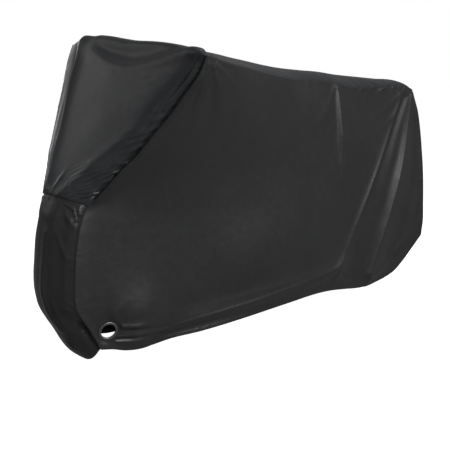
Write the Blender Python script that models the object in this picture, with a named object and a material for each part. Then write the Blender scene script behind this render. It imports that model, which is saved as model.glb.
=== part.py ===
"""A fitted bicycle cover: thin coated cloth in the shape it takes over an upright bicycle.

Lengths are in metres. The tables give places in the stand's own frame: X runs from the middle of the
wheelbase to the tail, -Y is the left side, and Z = 0 is the ground. An empty moves the whole cover so that
the origin is the spot under its top where it hangs on the handlebars.

The outer surface is a net of panels that share their seams. Every panel is a closed sheet: its outer face,
the same face moved in by the cloth's thickness along the net's normals, and a rim between the two.
"""

import math
from collections import namedtuple

import bmesh
import bpy
import numpy as np
from mathutils import Matrix

# Driving dimensions
CLOTH = 0.002  # thickness of the cloth with its coating
SEAM_GAP = 0.0003  # between neighbouring pieces
HOOD_STEPS = 16  # rows from the gathered seam up to the bars
HOOD_CLOSING = 1.25  # how much closer they stand near the bars; 1 spaces them evenly
GUSSET_STEPS = 13  # rows from the gathered seam down to the hem
LOW_STEPS = 8  # of those, the closer rows near the hem
LOW_ZONE = 0.55  # share of the gusset's length at which they begin
STRIP_STEPS = 14  # columns across the hood, the gusset and the top strip, closer at the seams
FRONT_COLUMNS = 6  # columns of a side panel round the eyelet
MIDDLE_COLUMNS = 11
REAR_COLUMNS = 19
FRONT_ZONE = 0.086  # share of a side panel's length that the front columns take
REAR_ZONE = 0.62  # share at which the closer columns of the tail begin

EYELET_X = -0.733  # centre of each eyelet
EYELET_Z = 0.184
EYELET_BLOCK = 4  # cells of a side panel, each way, that a patch takes
EYELET_REACH = 0.090  # how far round an eyelet the panel's grid is drawn to it
RING_BORE = 0.0252  # radius of the clear hole
RING_RADIUS = 0.0340  # radius of the flanges
RING_FLANGE = 0.0022  # thickness of a flange
RING_BARREL = 0.0019  # thickness of the barrel through the cloth
RING_SEGMENTS = 32

# The strip from the gathered seam over the bars, along the top and down the tail. x, half and z place its left
# edge; mid_x and mid_z its middle; full is the exponent of its section, 2 for round and 4 for flat with round
# shoulders; flare is how far the shoulders stand out past the edges; far_x, far_y and far_z move the right
# edge from the left one's mirror image, because no side hangs like the other.
Station = namedtuple("Station", "x half z mid_x mid_z full flare far_x far_y far_z")
HOOD = (
    Station(-0.785, 0.100, 0.616, -0.856, 0.640, 2.4, 0.004, -0.034, 0.016, 0.000),
    Station(-0.759, 0.120, 0.645, -0.838, 0.668, 2.4, 0.006, -0.036, 0.036, 0.004),
    Station(-0.734, 0.143, 0.681, -0.810, 0.703, 2.5, 0.008, -0.038, 0.050, 0.006),
    Station(-0.703, 0.171, 0.727, -0.783, 0.745, 2.6, 0.010, -0.040, 0.060, 0.008),
    Station(-0.666, 0.203, 0.774, -0.753, 0.790, 2.7, 0.012, -0.042, 0.067, 0.010),
    Station(-0.636, 0.235, 0.826, -0.722, 0.838, 2.8, 0.014, -0.042, 0.068, 0.010),
    Station(-0.588, 0.286, 0.907, -0.672, 0.915, 3.0, 0.014, -0.046, 0.062, 0.010),
    Station(-0.556, 0.327, 0.975, -0.632, 0.986, 3.2, 0.012, -0.046, 0.052, 0.010),
    Station(-0.530, 0.364, 1.035, -0.592, 1.054, 3.8, 0.010, -0.044, 0.034, 0.012),
    Station(-0.520, 0.386, 1.088, -0.555, 1.126, 5.0, 0.004, -0.035, 0.006, 0.012),
)
TOP = (
    HOOD[-1],
    Station(-0.455, 0.340, 1.079, -0.490, 1.119, 3.6, 0.002, -0.030, 0.004, 0.008),
    Station(-0.358, 0.280, 1.059, -0.385, 1.099, 2.8, 0.000, -0.020, 0.002, 0.006),
    Station(-0.231, 0.210, 1.037, -0.245, 1.076, 2.4, 0.000, -0.010, 0.000, 0.005),
    Station(-0.131, 0.170, 1.016, -0.138, 1.055, 2.4, 0.000, -0.004, 0.000, 0.004),
    Station(-0.012, 0.140, 0.992, -0.014, 1.030, 2.4, 0.000, 0.000, 0.000, 0.004),
    Station(0.100, 0.125, 0.974, 0.100, 1.010, 2.4, 0.000, 0.000, 0.000, 0.003),
    Station(0.207, 0.120, 0.967, 0.207, 0.998, 2.4, 0.000, 0.000, 0.000, 0.000),
    Station(0.293, 0.115, 0.955, 0.293, 0.990, 2.4, 0.000, 0.000, 0.000, 0.002),
    Station(0.381, 0.110, 0.935, 0.381, 0.977, 2.4, 0.000, 0.000, 0.000, 0.006),
    Station(0.472, 0.105, 0.927, 0.472, 0.966, 2.4, 0.000, 0.000, 0.000, 0.005),
    Station(0.567, 0.100, 0.924, 0.567, 0.955, 2.4, 0.000, 0.000, 0.000, 0.000),
    Station(0.658, 0.100, 0.925, 0.658, 0.945, 2.4, 0.000, 0.000, 0.000, 0.000),
    Station(0.730, 0.100, 0.917, 0.732, 0.937, 2.4, 0.000, 0.000, 0.000, 0.000),
    Station(0.764, 0.100, 0.905, 0.778, 0.920, 2.4, 0.000, 0.000, 0.000, 0.000),
)
TAIL = (
    TOP[-1],
    Station(0.778, 0.100, 0.885, 0.800, 0.891, 2.4, 0.000, 0.000, 0.000, 0.000),
    Station(0.790, 0.100, 0.862, 0.814, 0.865, 2.4, 0.000, 0.000, 0.000, 0.000),
    Station(0.814, 0.100, 0.812, 0.839, 0.814, 2.4, 0.000, 0.002, 0.002, 0.000),
    Station(0.834, 0.100, 0.746, 0.859, 0.747, 2.4, 0.000, 0.003, 0.004, 0.000),
    Station(0.858, 0.100, 0.635, 0.883, 0.635, 2.4, 0.000, 0.002, 0.004, 0.000),
    Station(0.874, 0.100, 0.545, 0.899, 0.545, 2.4, 0.000, 0.000, 0.003, 0.000),
    Station(0.888, 0.100, 0.408, 0.911, 0.407, 2.4, 0.000, 0.000, 0.002, 0.000),
    Station(0.894, 0.099, 0.293, 0.914, 0.291, 2.4, 0.000, 0.000, 0.000, 0.000),
    Station(0.891, 0.095, 0.247, 0.906, 0.241, 2.4, 0.000, 0.000, 0.000, 0.002),
)
GUSSET = (
    HOOD[0],
    Station(-0.804, 0.100, 0.589, -0.880, 0.596, 2.4, 0.004, -0.028, 0.008, 0.000),
    Station(-0.816, 0.100, 0.558, -0.890, 0.562, 2.4, 0.004, -0.018, 0.004, 0.000),
    Station(-0.830, 0.100, 0.495, -0.904, 0.498, 2.4, 0.004, -0.010, 0.000, 0.000),
    Station(-0.838, 0.100, 0.447, -0.911, 0.450, 2.4, 0.004, -0.004, 0.000, 0.000),
    Station(-0.843, 0.100, 0.381, -0.919, 0.384, 2.4, 0.004, 0.000, 0.000, 0.000),
    Station(-0.846, 0.100, 0.314, -0.920, 0.318, 2.4, 0.004, 0.000, 0.000, 0.000),
    Station(-0.843, 0.100, 0.279, -0.911, 0.274, 2.4, 0.004, 0.000, 0.000, 0.000),
    Station(-0.828, 0.100, 0.248, -0.893, 0.232, 2.4, 0.004, 0.000, 0.000, 0.000),
    Station(-0.804, 0.100, 0.208, -0.864, 0.178, 2.4, 0.003, 0.000, 0.000, 0.000),
    Station(-0.775, 0.100, 0.153, -0.818, 0.100, 2.4, 0.002, 0.000, 0.000, 0.000),
    Station(-0.756, 0.100, 0.118, -0.772, 0.062, 2.4, 0.000, 0.000, 0.000, 0.000),
)

# The hem of a side panel, from the front seam to the tail, pulled in under the wheels.
HemPoint = namedtuple("HemPoint", "x half z")
HEM = (
    HemPoint(-0.756, 0.100, 0.118),
    HemPoint(-0.710, 0.100, 0.108),
    HemPoint(-0.662, 0.098, 0.091),
    HemPoint(-0.601, 0.098, 0.081),
    HemPoint(-0.538, 0.100, 0.085),
    HemPoint(-0.496, 0.106, 0.091),
    HemPoint(-0.352, 0.115, 0.092),
    HemPoint(-0.165, 0.118, 0.097),
    HemPoint(0.036, 0.118, 0.106),
    HemPoint(0.255, 0.110, 0.110),
    HemPoint(0.310, 0.102, 0.104),
    HemPoint(0.422, 0.088, 0.085),
    HemPoint(0.491, 0.080, 0.072),
    HemPoint(0.559, 0.074, 0.066),
    HemPoint(0.629, 0.070, 0.072),
    HemPoint(0.696, 0.068, 0.082),
    HemPoint(0.754, 0.066, 0.099),
    HemPoint(0.802, 0.067, 0.132),
    HemPoint(0.856, 0.074, 0.186),
    HemPoint(0.891, 0.095, 0.247),
)

# Where a side panel stands off its taut line: x and z of the middle, how far out, and how wide and high the
# soft swelling is. The last one turns the cloth round the eyelet a little towards the front.
Swell = namedtuple("Swell", "x z out wide high")
SWELLS = (
    Swell(-0.020, 0.340, 0.030, 0.330, 0.210),
    Swell(-0.610, 0.330, 0.012, 0.150, 0.200),
    Swell(-0.605, 0.200, 0.026, 0.105, 0.110),
)

# Main folds. a, b and c place the start, middle and end of the fold's line, each as two lengths: X and Z on a
# side panel; Y and the length along the middle of the strip, from the gathered seam, on the others. wide is half
# the fold's width at its start and its end, and rise how far it stands out at the start, the middle and the end,
# below zero for a trough.
Fold = namedtuple("Fold", "a b c wide rise")
LEFT_FOLDS = (
    Fold((0.757, 0.875), (0.685, 0.530), (0.565, 0.130), (0.030, 0.050), (0.006, 0.022, 0.016)),
    Fold((0.800, 0.750), (0.800, 0.420), (0.700, 0.190), (0.035, 0.045), (-0.004, -0.010, -0.010)),
    Fold((0.690, 0.880), (0.520, 0.510), (0.360, 0.205), (0.020, 0.032), (0.004, 0.011, 0.009)),
    Fold((0.712, 0.870), (0.570, 0.530), (0.440, 0.260), (0.020, 0.030), (-0.004, -0.007, -0.002)),
    Fold((0.298, 0.940), (0.320, 0.740), (0.355, 0.530), (0.022, 0.026), (0.004, 0.007, 0.001)),
    Fold((-0.500, 1.060), (-0.478, 0.980), (-0.460, 0.890), (0.020, 0.028), (0.004, 0.007, 0.001)),
    Fold((-0.455, 1.060), (-0.400, 0.980), (-0.345, 0.880), (0.022, 0.034), (0.004, 0.007, 0.001)),
    Fold((-0.620, 0.150), (-0.100, 0.165), (0.370, 0.195), (0.034, 0.040), (0.006, 0.012, 0.008)),
)
RIGHT_FOLDS = (
    Fold((0.750, 0.870), (0.650, 0.500), (0.500, 0.150), (0.030, 0.050), (0.005, 0.018, 0.014)),
    Fold((0.795, 0.760), (0.780, 0.430), (0.660, 0.190), (0.035, 0.045), (-0.003, -0.008, -0.008)),
    Fold((0.610, 0.900), (0.480, 0.560), (0.330, 0.210), (0.022, 0.036), (0.003, 0.010, 0.007)),
    Fold((0.180, 0.940), (0.215, 0.760), (0.240, 0.560), (0.026, 0.030), (0.003, 0.006, 0.001)),
    Fold((-0.520, 1.060), (-0.500, 0.970), (-0.500, 0.870), (0.020, 0.030), (0.004, 0.008, 0.001)),
    Fold((-0.470, 1.060), (-0.390, 0.960), (-0.300, 0.860), (0.022, 0.036), (0.004, 0.006, 0.001)),
    Fold((-0.600, 0.155), (-0.080, 0.160), (0.340, 0.190), (0.034, 0.040), (0.005, 0.011, 0.008)),
)
STRIP_FOLDS = (
    Fold((0.080, 0.570), (0.190, 0.585), (0.290, 0.565), (0.050, 0.050), (0.004, 0.013, 0.006)),
    Fold((-0.290, 0.575), (-0.345, 0.578), (-0.372, 0.578), (0.030, 0.030), (0.002, 0.012, 0.010)),
    Fold((0.282, 0.560), (0.215, 0.310), (0.055, 0.020), (0.030, 0.030), (0.006, 0.012, 0.006)),
    Fold((0.220, 0.570), (-0.030, 0.518), (-0.290, 0.572), (0.028, 0.028), (-0.003, -0.008, -0.003)),
    Fold((0.250, 0.550), (-0.030, 0.476), (-0.310, 0.558), (0.022, 0.022), (0.002, 0.007, 0.003)),
    Fold((-0.372, 0.560), (-0.318, 0.440), (-0.250, 0.320), (0.015, 0.018), (0.005, 0.009, 0.003)),
    Fold((-0.348, 0.545), (-0.292, 0.430), (-0.222, 0.310), (0.018, 0.020), (-0.003, -0.007, -0.002)),
    Fold((-0.030, 0.020), (-0.095, 0.135), (-0.190, 0.260), (0.026, 0.036), (0.004, 0.009, 0.003)),
)
GUSSET_FOLDS = (
    Fold((-0.022, 0.120), (-0.028, 0.300), (-0.040, 0.470), (0.014, 0.014), (0.003, 0.007, 0.004)),
    Fold((-0.072, 0.040), (-0.076, 0.200), (-0.080, 0.360), (0.020, 0.020), (-0.003, -0.008, -0.004)),
    Fold((-0.082, 0.400), (-0.082, 0.480), (-0.070, 0.560), (0.016, 0.020), (-0.005, -0.010, -0.005)),
    Fold((0.045, 0.100), (0.055, 0.260), (0.045, 0.450), (0.018, 0.018), (0.002, 0.005, 0.003)),
    Fold((0.080, 0.060), (0.082, 0.220), (0.080, 0.400), (0.016, 0.018), (-0.003, -0.006, -0.004)),
)


def distances(points):
    """The distance along a line of points to each of them."""
    steps = np.linalg.norm(np.diff(points, axis=0), axis=1)
    return np.concatenate([[0.0], np.cumsum(steps)])


def smooth_through(places, values, at):
    """The smooth curve through values at places, read at other places. Its slopes are those of its chords."""
    places = np.asarray(places, float)
    values = np.asarray(values, float)
    at = np.clip(np.asarray(at, float), places[0], places[-1])
    chords = np.diff(values, axis=0) / np.diff(places)[:, None]
    spans = np.diff(places)[:, None]
    slopes = np.empty_like(values)
    slopes[1:-1] = (chords[:-1] * spans[1:] + chords[1:] * spans[:-1]) / (spans[1:] + spans[:-1])
    slopes[0] = 1.5 * chords[0] - 0.5 * slopes[1]
    slopes[-1] = 1.5 * chords[-1] - 0.5 * slopes[-2]
    k = np.clip(np.searchsorted(places, at, side="right") - 1, 0, len(places) - 2)
    h = (places[k + 1] - places[k])[:, None]
    s = ((at - places[k]) / (places[k + 1] - places[k]))[:, None]
    return (
        (1 + 2 * s) * (1 - s) ** 2 * values[k]
        + s * (1 - s) ** 2 * h * slopes[k]
        + s * s * (3 - 2 * s) * values[k + 1]
        - s * s * (1 - s) * h * slopes[k + 1]
    )


def left_edge(rows):
    return np.array([(row.x, -row.half, row.z) for row in rows])


def strip_grid(rows, fractions, across):
    """The points of a strip: a row for each fraction of its length, a column for each place across it."""
    along = distances(left_edge(rows))
    table = smooth_through(along, np.array(rows), np.asarray(fractions) * along[-1])
    grid = np.empty((len(fractions), len(across), 3))
    t = np.asarray(across, float)
    for i, values in enumerate(table):
        row = Station(*values)
        left = np.array([row.x, -row.half, row.z])
        right = np.array([row.x + row.far_x, row.half + row.far_y, row.z + row.far_z])
        middle = np.array([row.mid_x, (left[1] + right[1]) / 2, row.mid_z])
        crown = (1 - np.abs(t) ** row.full)[:, None]
        line = left * (1 - t)[:, None] / 2 + right * (1 + t)[:, None] / 2
        grid[i] = line + (middle - (left + right) / 2) * crown
        grid[i, :, 1] += row.flare * np.sign(t) * np.sin(math.pi * np.abs(t) ** 3) ** 2
    return grid


def stretched(front, top, tail, hem):
    """A taut panel between its four edges. The grid has a row for each point of front and tail, which run
    down, and a column for each point of top and hem, which run back. The places along and down the panel are
    blended from the edges, and how far out each point lies is the mean of its neighbours'."""
    rows, columns = len(front), len(top)
    u = (distances(top) / distances(top)[-1] + distances(hem) / distances(hem)[-1]) / 2
    v = (distances(front) / distances(front)[-1] + distances(tail) / distances(tail)[-1]) / 2
    u, v = u[None, :, None], v[:, None, None]
    grid = (
        (1 - v) * top[None]
        + v * hem[None]
        + (1 - u) * front[:, None]
        + u * tail[:, None]
        - (1 - u) * (1 - v) * top[0]
        - u * (1 - v) * top[-1]
        - (1 - u) * v * hem[0]
        - u * v * hem[-1]
    )
    number = np.arange(rows * columns).reshape(rows, columns)
    system = np.eye(rows * columns)
    known = grid[:, :, 1].reshape(-1).copy()
    flat = grid[:, :, (0, 2)].reshape(-1, 2)
    for i in range(1, rows - 1):
        for j in range(1, columns - 1):
            here = number[i, j]
            near = number[(i - 1, i + 1, i, i), (j, j, j - 1, j + 1)]
            pull = 1 / np.linalg.norm(flat[near] - flat[here], axis=1)
            system[here, near] = -pull / pull.sum()
            known[here] = 0.0
    grid[:, :, 1] = np.linalg.solve(system, known).reshape(rows, columns)
    return grid


def grid_normals(grid):
    """The unit normal at each point of a grid, along rows crossed with along columns."""
    down = np.gradient(grid, axis=0)
    along = np.gradient(grid, axis=1)
    normals = np.cross(down, along)
    return normals / np.linalg.norm(normals, axis=2, keepdims=True)


def fold_height(fold, first, second):
    """How far a fold lifts the points whose two lengths are first and second."""
    line = smooth_through((0.0, 0.5, 1.0), np.array((fold.a, fold.b, fold.c)), np.linspace(0, 1, 25))
    points = np.stack([first, second], axis=-1)
    gaps = np.linalg.norm(points[..., None, :] - line, axis=-1)
    nearest = gaps.argmin(axis=-1)
    s = nearest / (len(line) - 1)
    wide = np.interp(s, (0, 1), fold.wide)
    rise = np.interp(s, (0, 0.5, 1), fold.rise)
    return rise * np.exp(-((gaps.min(axis=-1) / wide) ** 2))


def edge_fade(shape, rows=1.0, columns=1.0):
    """One inside a grid and nought at its edges, so that a fold leaves the seams in place."""
    down = np.minimum(np.arange(shape[0]), np.arange(shape[0])[::-1]) / rows
    along = np.minimum(np.arange(shape[1]), np.arange(shape[1])[::-1]) / columns
    return np.minimum(down, 1)[:, None] * np.minimum(along, 1)[None]


def folded(grid, folds, first, second, outward):
    """The grid with its folds. They are placed by the lengths first and second of each point, and move it along
    the grid's normal, on the outward side."""
    height = sum((fold_height(fold, first, second) for fold in folds), np.zeros(grid.shape[:2]))
    return grid + (outward * height * edge_fade(height.shape))[:, :, None] * grid_normals(grid)


def side_columns():
    """The shares of a side panel's length at which its columns stand."""
    front = np.linspace(0, FRONT_ZONE, FRONT_COLUMNS + 1)
    middle = np.linspace(FRONT_ZONE, REAR_ZONE, MIDDLE_COLUMNS + 1)
    rear = np.linspace(REAR_ZONE, 1, REAR_COLUMNS + 1)
    return np.concatenate([front, middle[1:], rear[1:]])


def front_rows():
    """The shares of the gusset's length at which its rows stand, closer near the hem."""
    high = np.linspace(0, LOW_ZONE, GUSSET_STEPS - LOW_STEPS + 1)
    return np.concatenate([high, np.linspace(LOW_ZONE, 1, LOW_STEPS + 1)[1:]])


def side_grid(front, top, tail, side):
    """A side panel, side -1 for the left and 1 for the right."""
    hem = np.array([(row.x, side * row.half, row.z) for row in HEM])
    hem[0] = front[-1]
    hem[-1] = tail[-1]
    along = distances(hem)
    hem = smooth_through(along, hem, side_columns() * along[-1])
    grid = stretched(front, top, tail, hem)
    fade = edge_fade(grid.shape[:2], 4, 5)
    for swell in SWELLS:
        across = (grid[:, :, 0] - swell.x) / swell.wide
        up = (grid[:, :, 2] - swell.z) / swell.high
        grid[:, :, 1] += side * swell.out * fade * np.exp(-(across**2) - up**2)
    folds = LEFT_FOLDS if side < 0 else RIGHT_FOLDS
    return folded(grid, folds, grid[:, :, 0], grid[:, :, 2], -side)


def strip_folded(grid, folds, outward):
    """A strip with its folds, placed by Y and by the length along its middle."""
    along = distances(grid[:, grid.shape[1] // 2])
    return folded(grid, folds, grid[:, :, 1], np.broadcast_to(along[:, None], grid.shape[:2]), outward)


class Net:
    """Panels as lists of points and faces, and the normals that they share where they meet."""

    def __init__(self):
        self.panels = {}
        self.normals = {}

    @staticmethod
    def key(point):
        return tuple(np.round(point, 6))

    def add(self, name, points, faces):
        self.panels[name] = (np.asarray(points, float), faces)
        for face in faces:
            corners = self.panels[name][0][list(face)]
            area = np.zeros(3)
            for a, b in zip(corners, np.roll(corners, -1, axis=0)):
                area += np.cross(a - corners[0], b - corners[0])
            for corner in corners:
                key = self.key(corner)
                self.normals[key] = self.normals.get(key, np.zeros(3)) + area

    def normal(self, point):
        total = self.normals[self.key(point)]
        return total / np.linalg.norm(total)

    def sheet(self, name):
        """The closed sheet of one panel, its edges drawn back by half the gap."""
        points, faces = self.panels[name]
        rim = rim_edges(faces)
        normals = np.array([self.normal(p) for p in points])
        inward = {}
        for a, b, inside in rim:
            along = points[b] - points[a]
            along /= np.linalg.norm(along)
            away = points[inside] - points[a]
            away -= along * (away @ along)
            away -= normals[a] * (away @ normals[a])
            for end in (a, b):
                inward.setdefault(end, []).append(away / np.linalg.norm(away))
        pulled = points.copy()
        for end, (first, second) in inward.items():
            pulled[end] += SEAM_GAP / 2 * (first + second) / (1 + first @ second)
        count = len(points)
        vertices = np.concatenate([pulled, pulled - CLOTH * normals])
        closed = [tuple(face) for face in faces]
        closed += [tuple(i + count for i in reversed(face)) for face in faces]
        closed += [(b, a, a + count, b + count) for a, b, _ in rim]
        return vertices, closed


def rim_edges(faces):
    """Each edge that one face alone has, as the face runs along it, with a point of that face off the edge."""
    seen = {}
    for face in faces:
        for k, a in enumerate(face):
            b = face[(k + 1) % len(face)]
            seen[(a, b)] = face[(k + 2) % len(face)]
    return [(a, b, inside) for (a, b), inside in seen.items() if (b, a) not in seen]


def grid_faces(rows, columns, flip, leave_out=()):
    """The four-sided faces of a grid of points, apart from the cells named in leave_out."""
    faces = []
    for i in range(rows - 1):
        for j in range(columns - 1):
            if (i, j) in leave_out:
                continue
            face = (i * columns + j, (i + 1) * columns + j, (i + 1) * columns + j + 1, i * columns + j + 1)
            faces.append(face[::-1] if flip else face)
    return faces


def without_loose(points, faces):
    """The points that faces use, and the faces renumbered."""
    used = sorted({i for face in faces for i in face})
    order = {old: new for new, old in enumerate(used)}
    return points[used], [tuple(order[i] for i in face) for face in faces]


def eyelet_cell(grid):
    """Slides the grid within the cloth until a point lies on the eyelet, and gives the first cell of the block
    of cells round it."""
    half = EYELET_BLOCK // 2
    place = np.array([EYELET_X, EYELET_Z])
    gaps = np.linalg.norm(grid[:, :, (0, 2)] - place, axis=2)
    inside = gaps + np.where(edge_fade(gaps.shape, half, half) < 1, 1.0, 0.0)
    i, j = np.unravel_index(inside.argmin(), gaps.shape)
    slide = place - grid[i, j, (0, 2)]
    share = np.exp(-((gaps / EYELET_REACH) ** 2)) * edge_fade(gaps.shape, half, half)
    grid[:, :, 0] += slide[0] * share
    grid[:, :, 2] += slide[1] * share
    return i - half, j - half


def block_outline(i, j):
    """The grid places round the block, from its top front corner down the front and round."""
    n = EYELET_BLOCK
    down = [(i + k, j) for k in range(n)]
    back = [(i + n, j + k) for k in range(n)]
    up = [(i + n - k, j + n) for k in range(n)]
    forward = [(i, j + n - k) for k in range(n)]
    return down + back + up + forward


def eyelet_patch(grid, outline, outward):
    """The points and faces of the cloth round an eyelet: the block's outline, a flat loop under the flange and
    the hole's edge. It also gives the eyelet's centre and its outward normal."""
    outer = np.array([grid[place] for place in outline])
    centre = outer.mean(axis=0)
    spread = np.linalg.svd(outer - centre)[2]
    normal = spread[2] * np.sign(spread[2] @ outward)
    bearings = outer - centre
    bearings -= np.outer(bearings @ normal, normal)
    bearings /= np.linalg.norm(bearings, axis=1, keepdims=True)
    count = len(outer)
    corner = 1 / math.cos(math.pi / count)
    hole = (RING_BORE + RING_BARREL + SEAM_GAP) * corner
    flat = RING_RADIUS + 2 * CLOTH
    even = evenly_turned(bearings, normal)
    loops = [outer, centre + even * flat, centre + even * hole]
    faces = []
    for ring in range(len(loops) - 1):
        for k in range(count):
            after = (k + 1) % count
            here, inner = ring * count, (ring + 1) * count
            faces.append((here + k, here + after, inner + after, inner + k))
    return np.concatenate(loops), faces, centre, normal


def evenly_turned(bearings, normal):
    """As many directions as bearings, evenly spaced round normal, each as near its bearing as that allows."""
    first = bearings[0]
    second = np.cross(normal, first)
    angles = np.unwrap(np.arctan2(bearings @ second, bearings @ first))
    turn = math.copysign(2 * math.pi / len(bearings), angles[-1])
    steps = np.arange(len(bearings)) * turn
    steps += (angles - steps).mean()
    return np.cos(steps)[:, None] * first + np.sin(steps)[:, None] * second


def plain_material(name, colour, roughness, metallic=0.0):
    material = bpy.data.materials.new(name)
    material.use_nodes = True
    shader = material.node_tree.nodes["Principled BSDF"]
    shader.inputs["Base Color"].default_value = (*colour, 1.0)
    shader.inputs["Roughness"].default_value = roughness
    shader.inputs["Metallic"].default_value = metallic
    material.diffuse_color = (*colour, 1.0)
    return material


def add_object(name, vertices, faces, material, parent):
    mesh = bpy.data.meshes.new(name)
    mesh.from_pydata([tuple(v) for v in vertices], [], faces)
    mesh.validate()
    mesh.shade_smooth()
    mesh.set_sharp_from_angle(angle=math.radians(50))
    mesh.materials.append(material)
    obj = bpy.data.objects.new(name, mesh)
    bpy.context.scene.collection.objects.link(obj)
    obj.parent = parent
    return obj


def eyelet_ring(name, centre, normal, material, parent):
    """A pressed ring: a barrel through the hole and a flange on each face of the cloth."""
    rise = SEAM_GAP + RING_FLANGE
    sink = CLOTH + SEAM_GAP + RING_FLANGE
    hole = RING_BORE + RING_BARREL
    section = (
        (RING_BORE, -sink + RING_FLANGE / 2),
        (RING_BORE + RING_FLANGE / 2, -sink),
        (RING_RADIUS, -sink + RING_FLANGE / 2),
        (RING_RADIUS, -CLOTH - SEAM_GAP),
        (hole, -CLOTH - SEAM_GAP),
        (hole, SEAM_GAP),
        (RING_RADIUS, SEAM_GAP),
        (RING_RADIUS - RING_FLANGE / 4, SEAM_GAP + RING_FLANGE * 0.6),
        (RING_RADIUS - RING_FLANGE, rise),
        (RING_BORE + RING_FLANGE, rise),
        (RING_BORE, rise - RING_FLANGE),
    )
    shape = bmesh.new()
    ring = [shape.verts.new((radius, 0.0, height)) for radius, height in section]
    edges = [shape.edges.new((ring[k], ring[(k + 1) % len(ring)])) for k in range(len(ring))]
    bmesh.ops.spin(
        shape,
        geom=ring + edges,
        cent=(0, 0, 0),
        axis=(0, 0, 1),
        angle=2 * math.pi,
        steps=RING_SEGMENTS,
        use_merge=True,
    )
    bmesh.ops.remove_doubles(shape, verts=shape.verts, dist=1e-6)
    bmesh.ops.recalc_face_normals(shape, faces=shape.faces)
    mesh = bpy.data.meshes.new(name)
    shape.to_mesh(mesh)
    shape.free()
    mesh.shade_smooth()
    mesh.set_sharp_from_angle(angle=math.radians(50))
    mesh.materials.append(material)
    obj = bpy.data.objects.new(name, mesh)
    bpy.context.scene.collection.objects.link(obj)
    obj.parent = parent
    across = np.cross(normal, (0.0, 0.0, 1.0))
    across /= np.linalg.norm(across)
    axes = np.stack([across, np.cross(normal, across), normal], axis=1)
    obj.matrix_local = Matrix.Translation(centre) @ Matrix(axes.tolist()).to_4x4()
    return obj


def clear_scene():
    for obj in list(bpy.data.objects):
        bpy.data.objects.remove(obj, do_unlink=True)


def panel_grids():
    """The outer face of each panel as a grid of points."""
    across = np.sin(np.linspace(-math.pi / 2, math.pi / 2, STRIP_STEPS + 1))
    hood = strip_grid(HOOD, 1 - np.linspace(1, 0, HOOD_STEPS + 1) ** HOOD_CLOSING, across)
    gusset = strip_grid(GUSSET, front_rows(), across)
    top = strip_grid(TOP, side_columns(), across)
    down = distances(np.concatenate([hood[::-1, 0], gusset[1:, 0]]))
    tail = strip_grid(TAIL, down / down[-1], across)
    left_front = np.concatenate([hood[::-1, 0], gusset[1:, 0]])
    right_front = np.concatenate([hood[::-1, -1], gusset[1:, -1]])
    return {
        "centre_panel": strip_folded(np.concatenate([hood, top[1:], tail[1:]]), STRIP_FOLDS, 1),
        "front_gusset": strip_folded(gusset, GUSSET_FOLDS, -1),
        "side_panel_left": side_grid(left_front, top[:, 0], tail[:, 0], -1),
        "side_panel_right": side_grid(right_front, top[:, -1], tail[:, -1], 1),
    }


def main():
    clear_scene()
    cloth = plain_material("cover_cloth", (0.033, 0.034, 0.036), 0.45)
    hood_cloth = plain_material("hood_cloth", (0.042, 0.044, 0.050), 0.42)
    ring_metal = plain_material("eyelet_metal", (0.060, 0.060, 0.062), 0.35, 0.8)
    grids = panel_grids()
    centre = grids["centre_panel"]
    gusset = grids["front_gusset"]

    net = Net()
    net.add("centre_panel", centre.reshape(-1, 3), grid_faces(*centre.shape[:2], False))
    net.add("front_gusset", gusset.reshape(-1, 3), grid_faces(*gusset.shape[:2], True))
    eyelets = {}
    for name, side in (("left", -1), ("right", 1)):
        grid = grids[f"side_panel_{name}"]
        i, j = eyelet_cell(grid)
        block = {(i + a, j + b) for a in range(EYELET_BLOCK) for b in range(EYELET_BLOCK)}
        faces = grid_faces(*grid.shape[:2], side > 0, block)
        net.add(f"side_panel_{name}", *without_loose(grid.reshape(-1, 3), faces))
        outline = block_outline(i, j)
        points, faces, middle, normal = eyelet_patch(grid, outline, np.array([0.0, side, 0.0]))
        if side > 0:
            faces = [face[::-1] for face in faces]
        net.add(f"eyelet_patch_{name}", points, faces)
        eyelets[name] = (middle, normal)

    cover = bpy.data.objects.new("cover", None)
    bpy.context.scene.collection.objects.link(cover)
    hang = centre[HOOD_STEPS, STRIP_STEPS // 2]
    hang = hang - CLOTH * net.normal(hang)
    cover.location = tuple(-hang)
    for name in net.panels:
        material = hood_cloth if name == "centre_panel" else cloth
        add_object(name, *net.sheet(name), material, cover)
    for name, (middle, normal) in eyelets.items():
        eyelet_ring(f"eyelet_ring_{name}", middle, normal, ring_metal, cover)


main()
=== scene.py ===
"""A fitted bicycle cover: thin coated cloth in the shape that it takes in use.

Lengths are in metres. The tables give places in the ground's frame: its origin lies on the ground under the
middle of the cover, X runs towards the tail, and -Y is the left side. HANG is where the cover hangs, in that
frame, and the finished meshes are moved so that it is the origin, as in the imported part.

Every panel starts as its taut shape between its seams. Folds, puckers and hems then move it along its
normals, and it is closed into a thin sheet.
"""

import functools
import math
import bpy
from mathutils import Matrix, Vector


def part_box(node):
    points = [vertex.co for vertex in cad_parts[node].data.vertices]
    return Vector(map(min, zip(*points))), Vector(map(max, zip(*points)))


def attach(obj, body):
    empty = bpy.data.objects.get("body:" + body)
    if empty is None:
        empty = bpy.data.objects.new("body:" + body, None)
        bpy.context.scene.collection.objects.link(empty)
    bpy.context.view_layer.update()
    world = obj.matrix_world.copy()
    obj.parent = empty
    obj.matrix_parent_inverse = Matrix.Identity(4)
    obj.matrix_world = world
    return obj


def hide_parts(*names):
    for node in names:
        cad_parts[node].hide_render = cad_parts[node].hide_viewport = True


bl_info = {
    "name": "Fitted bicycle cover",
    "version": (1, 0, 0),
    "blender": (4, 5, 0),
    "location": "View3D > Sidebar > Cover",
    "description": "Dresses the packed cover in coated cloth with its folds, puckers, stitching and eyelets",
    "category": "Add Mesh",
}

from collections import namedtuple

import bmesh
import bpy
import numpy as np
from mathutils import Vector

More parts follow.
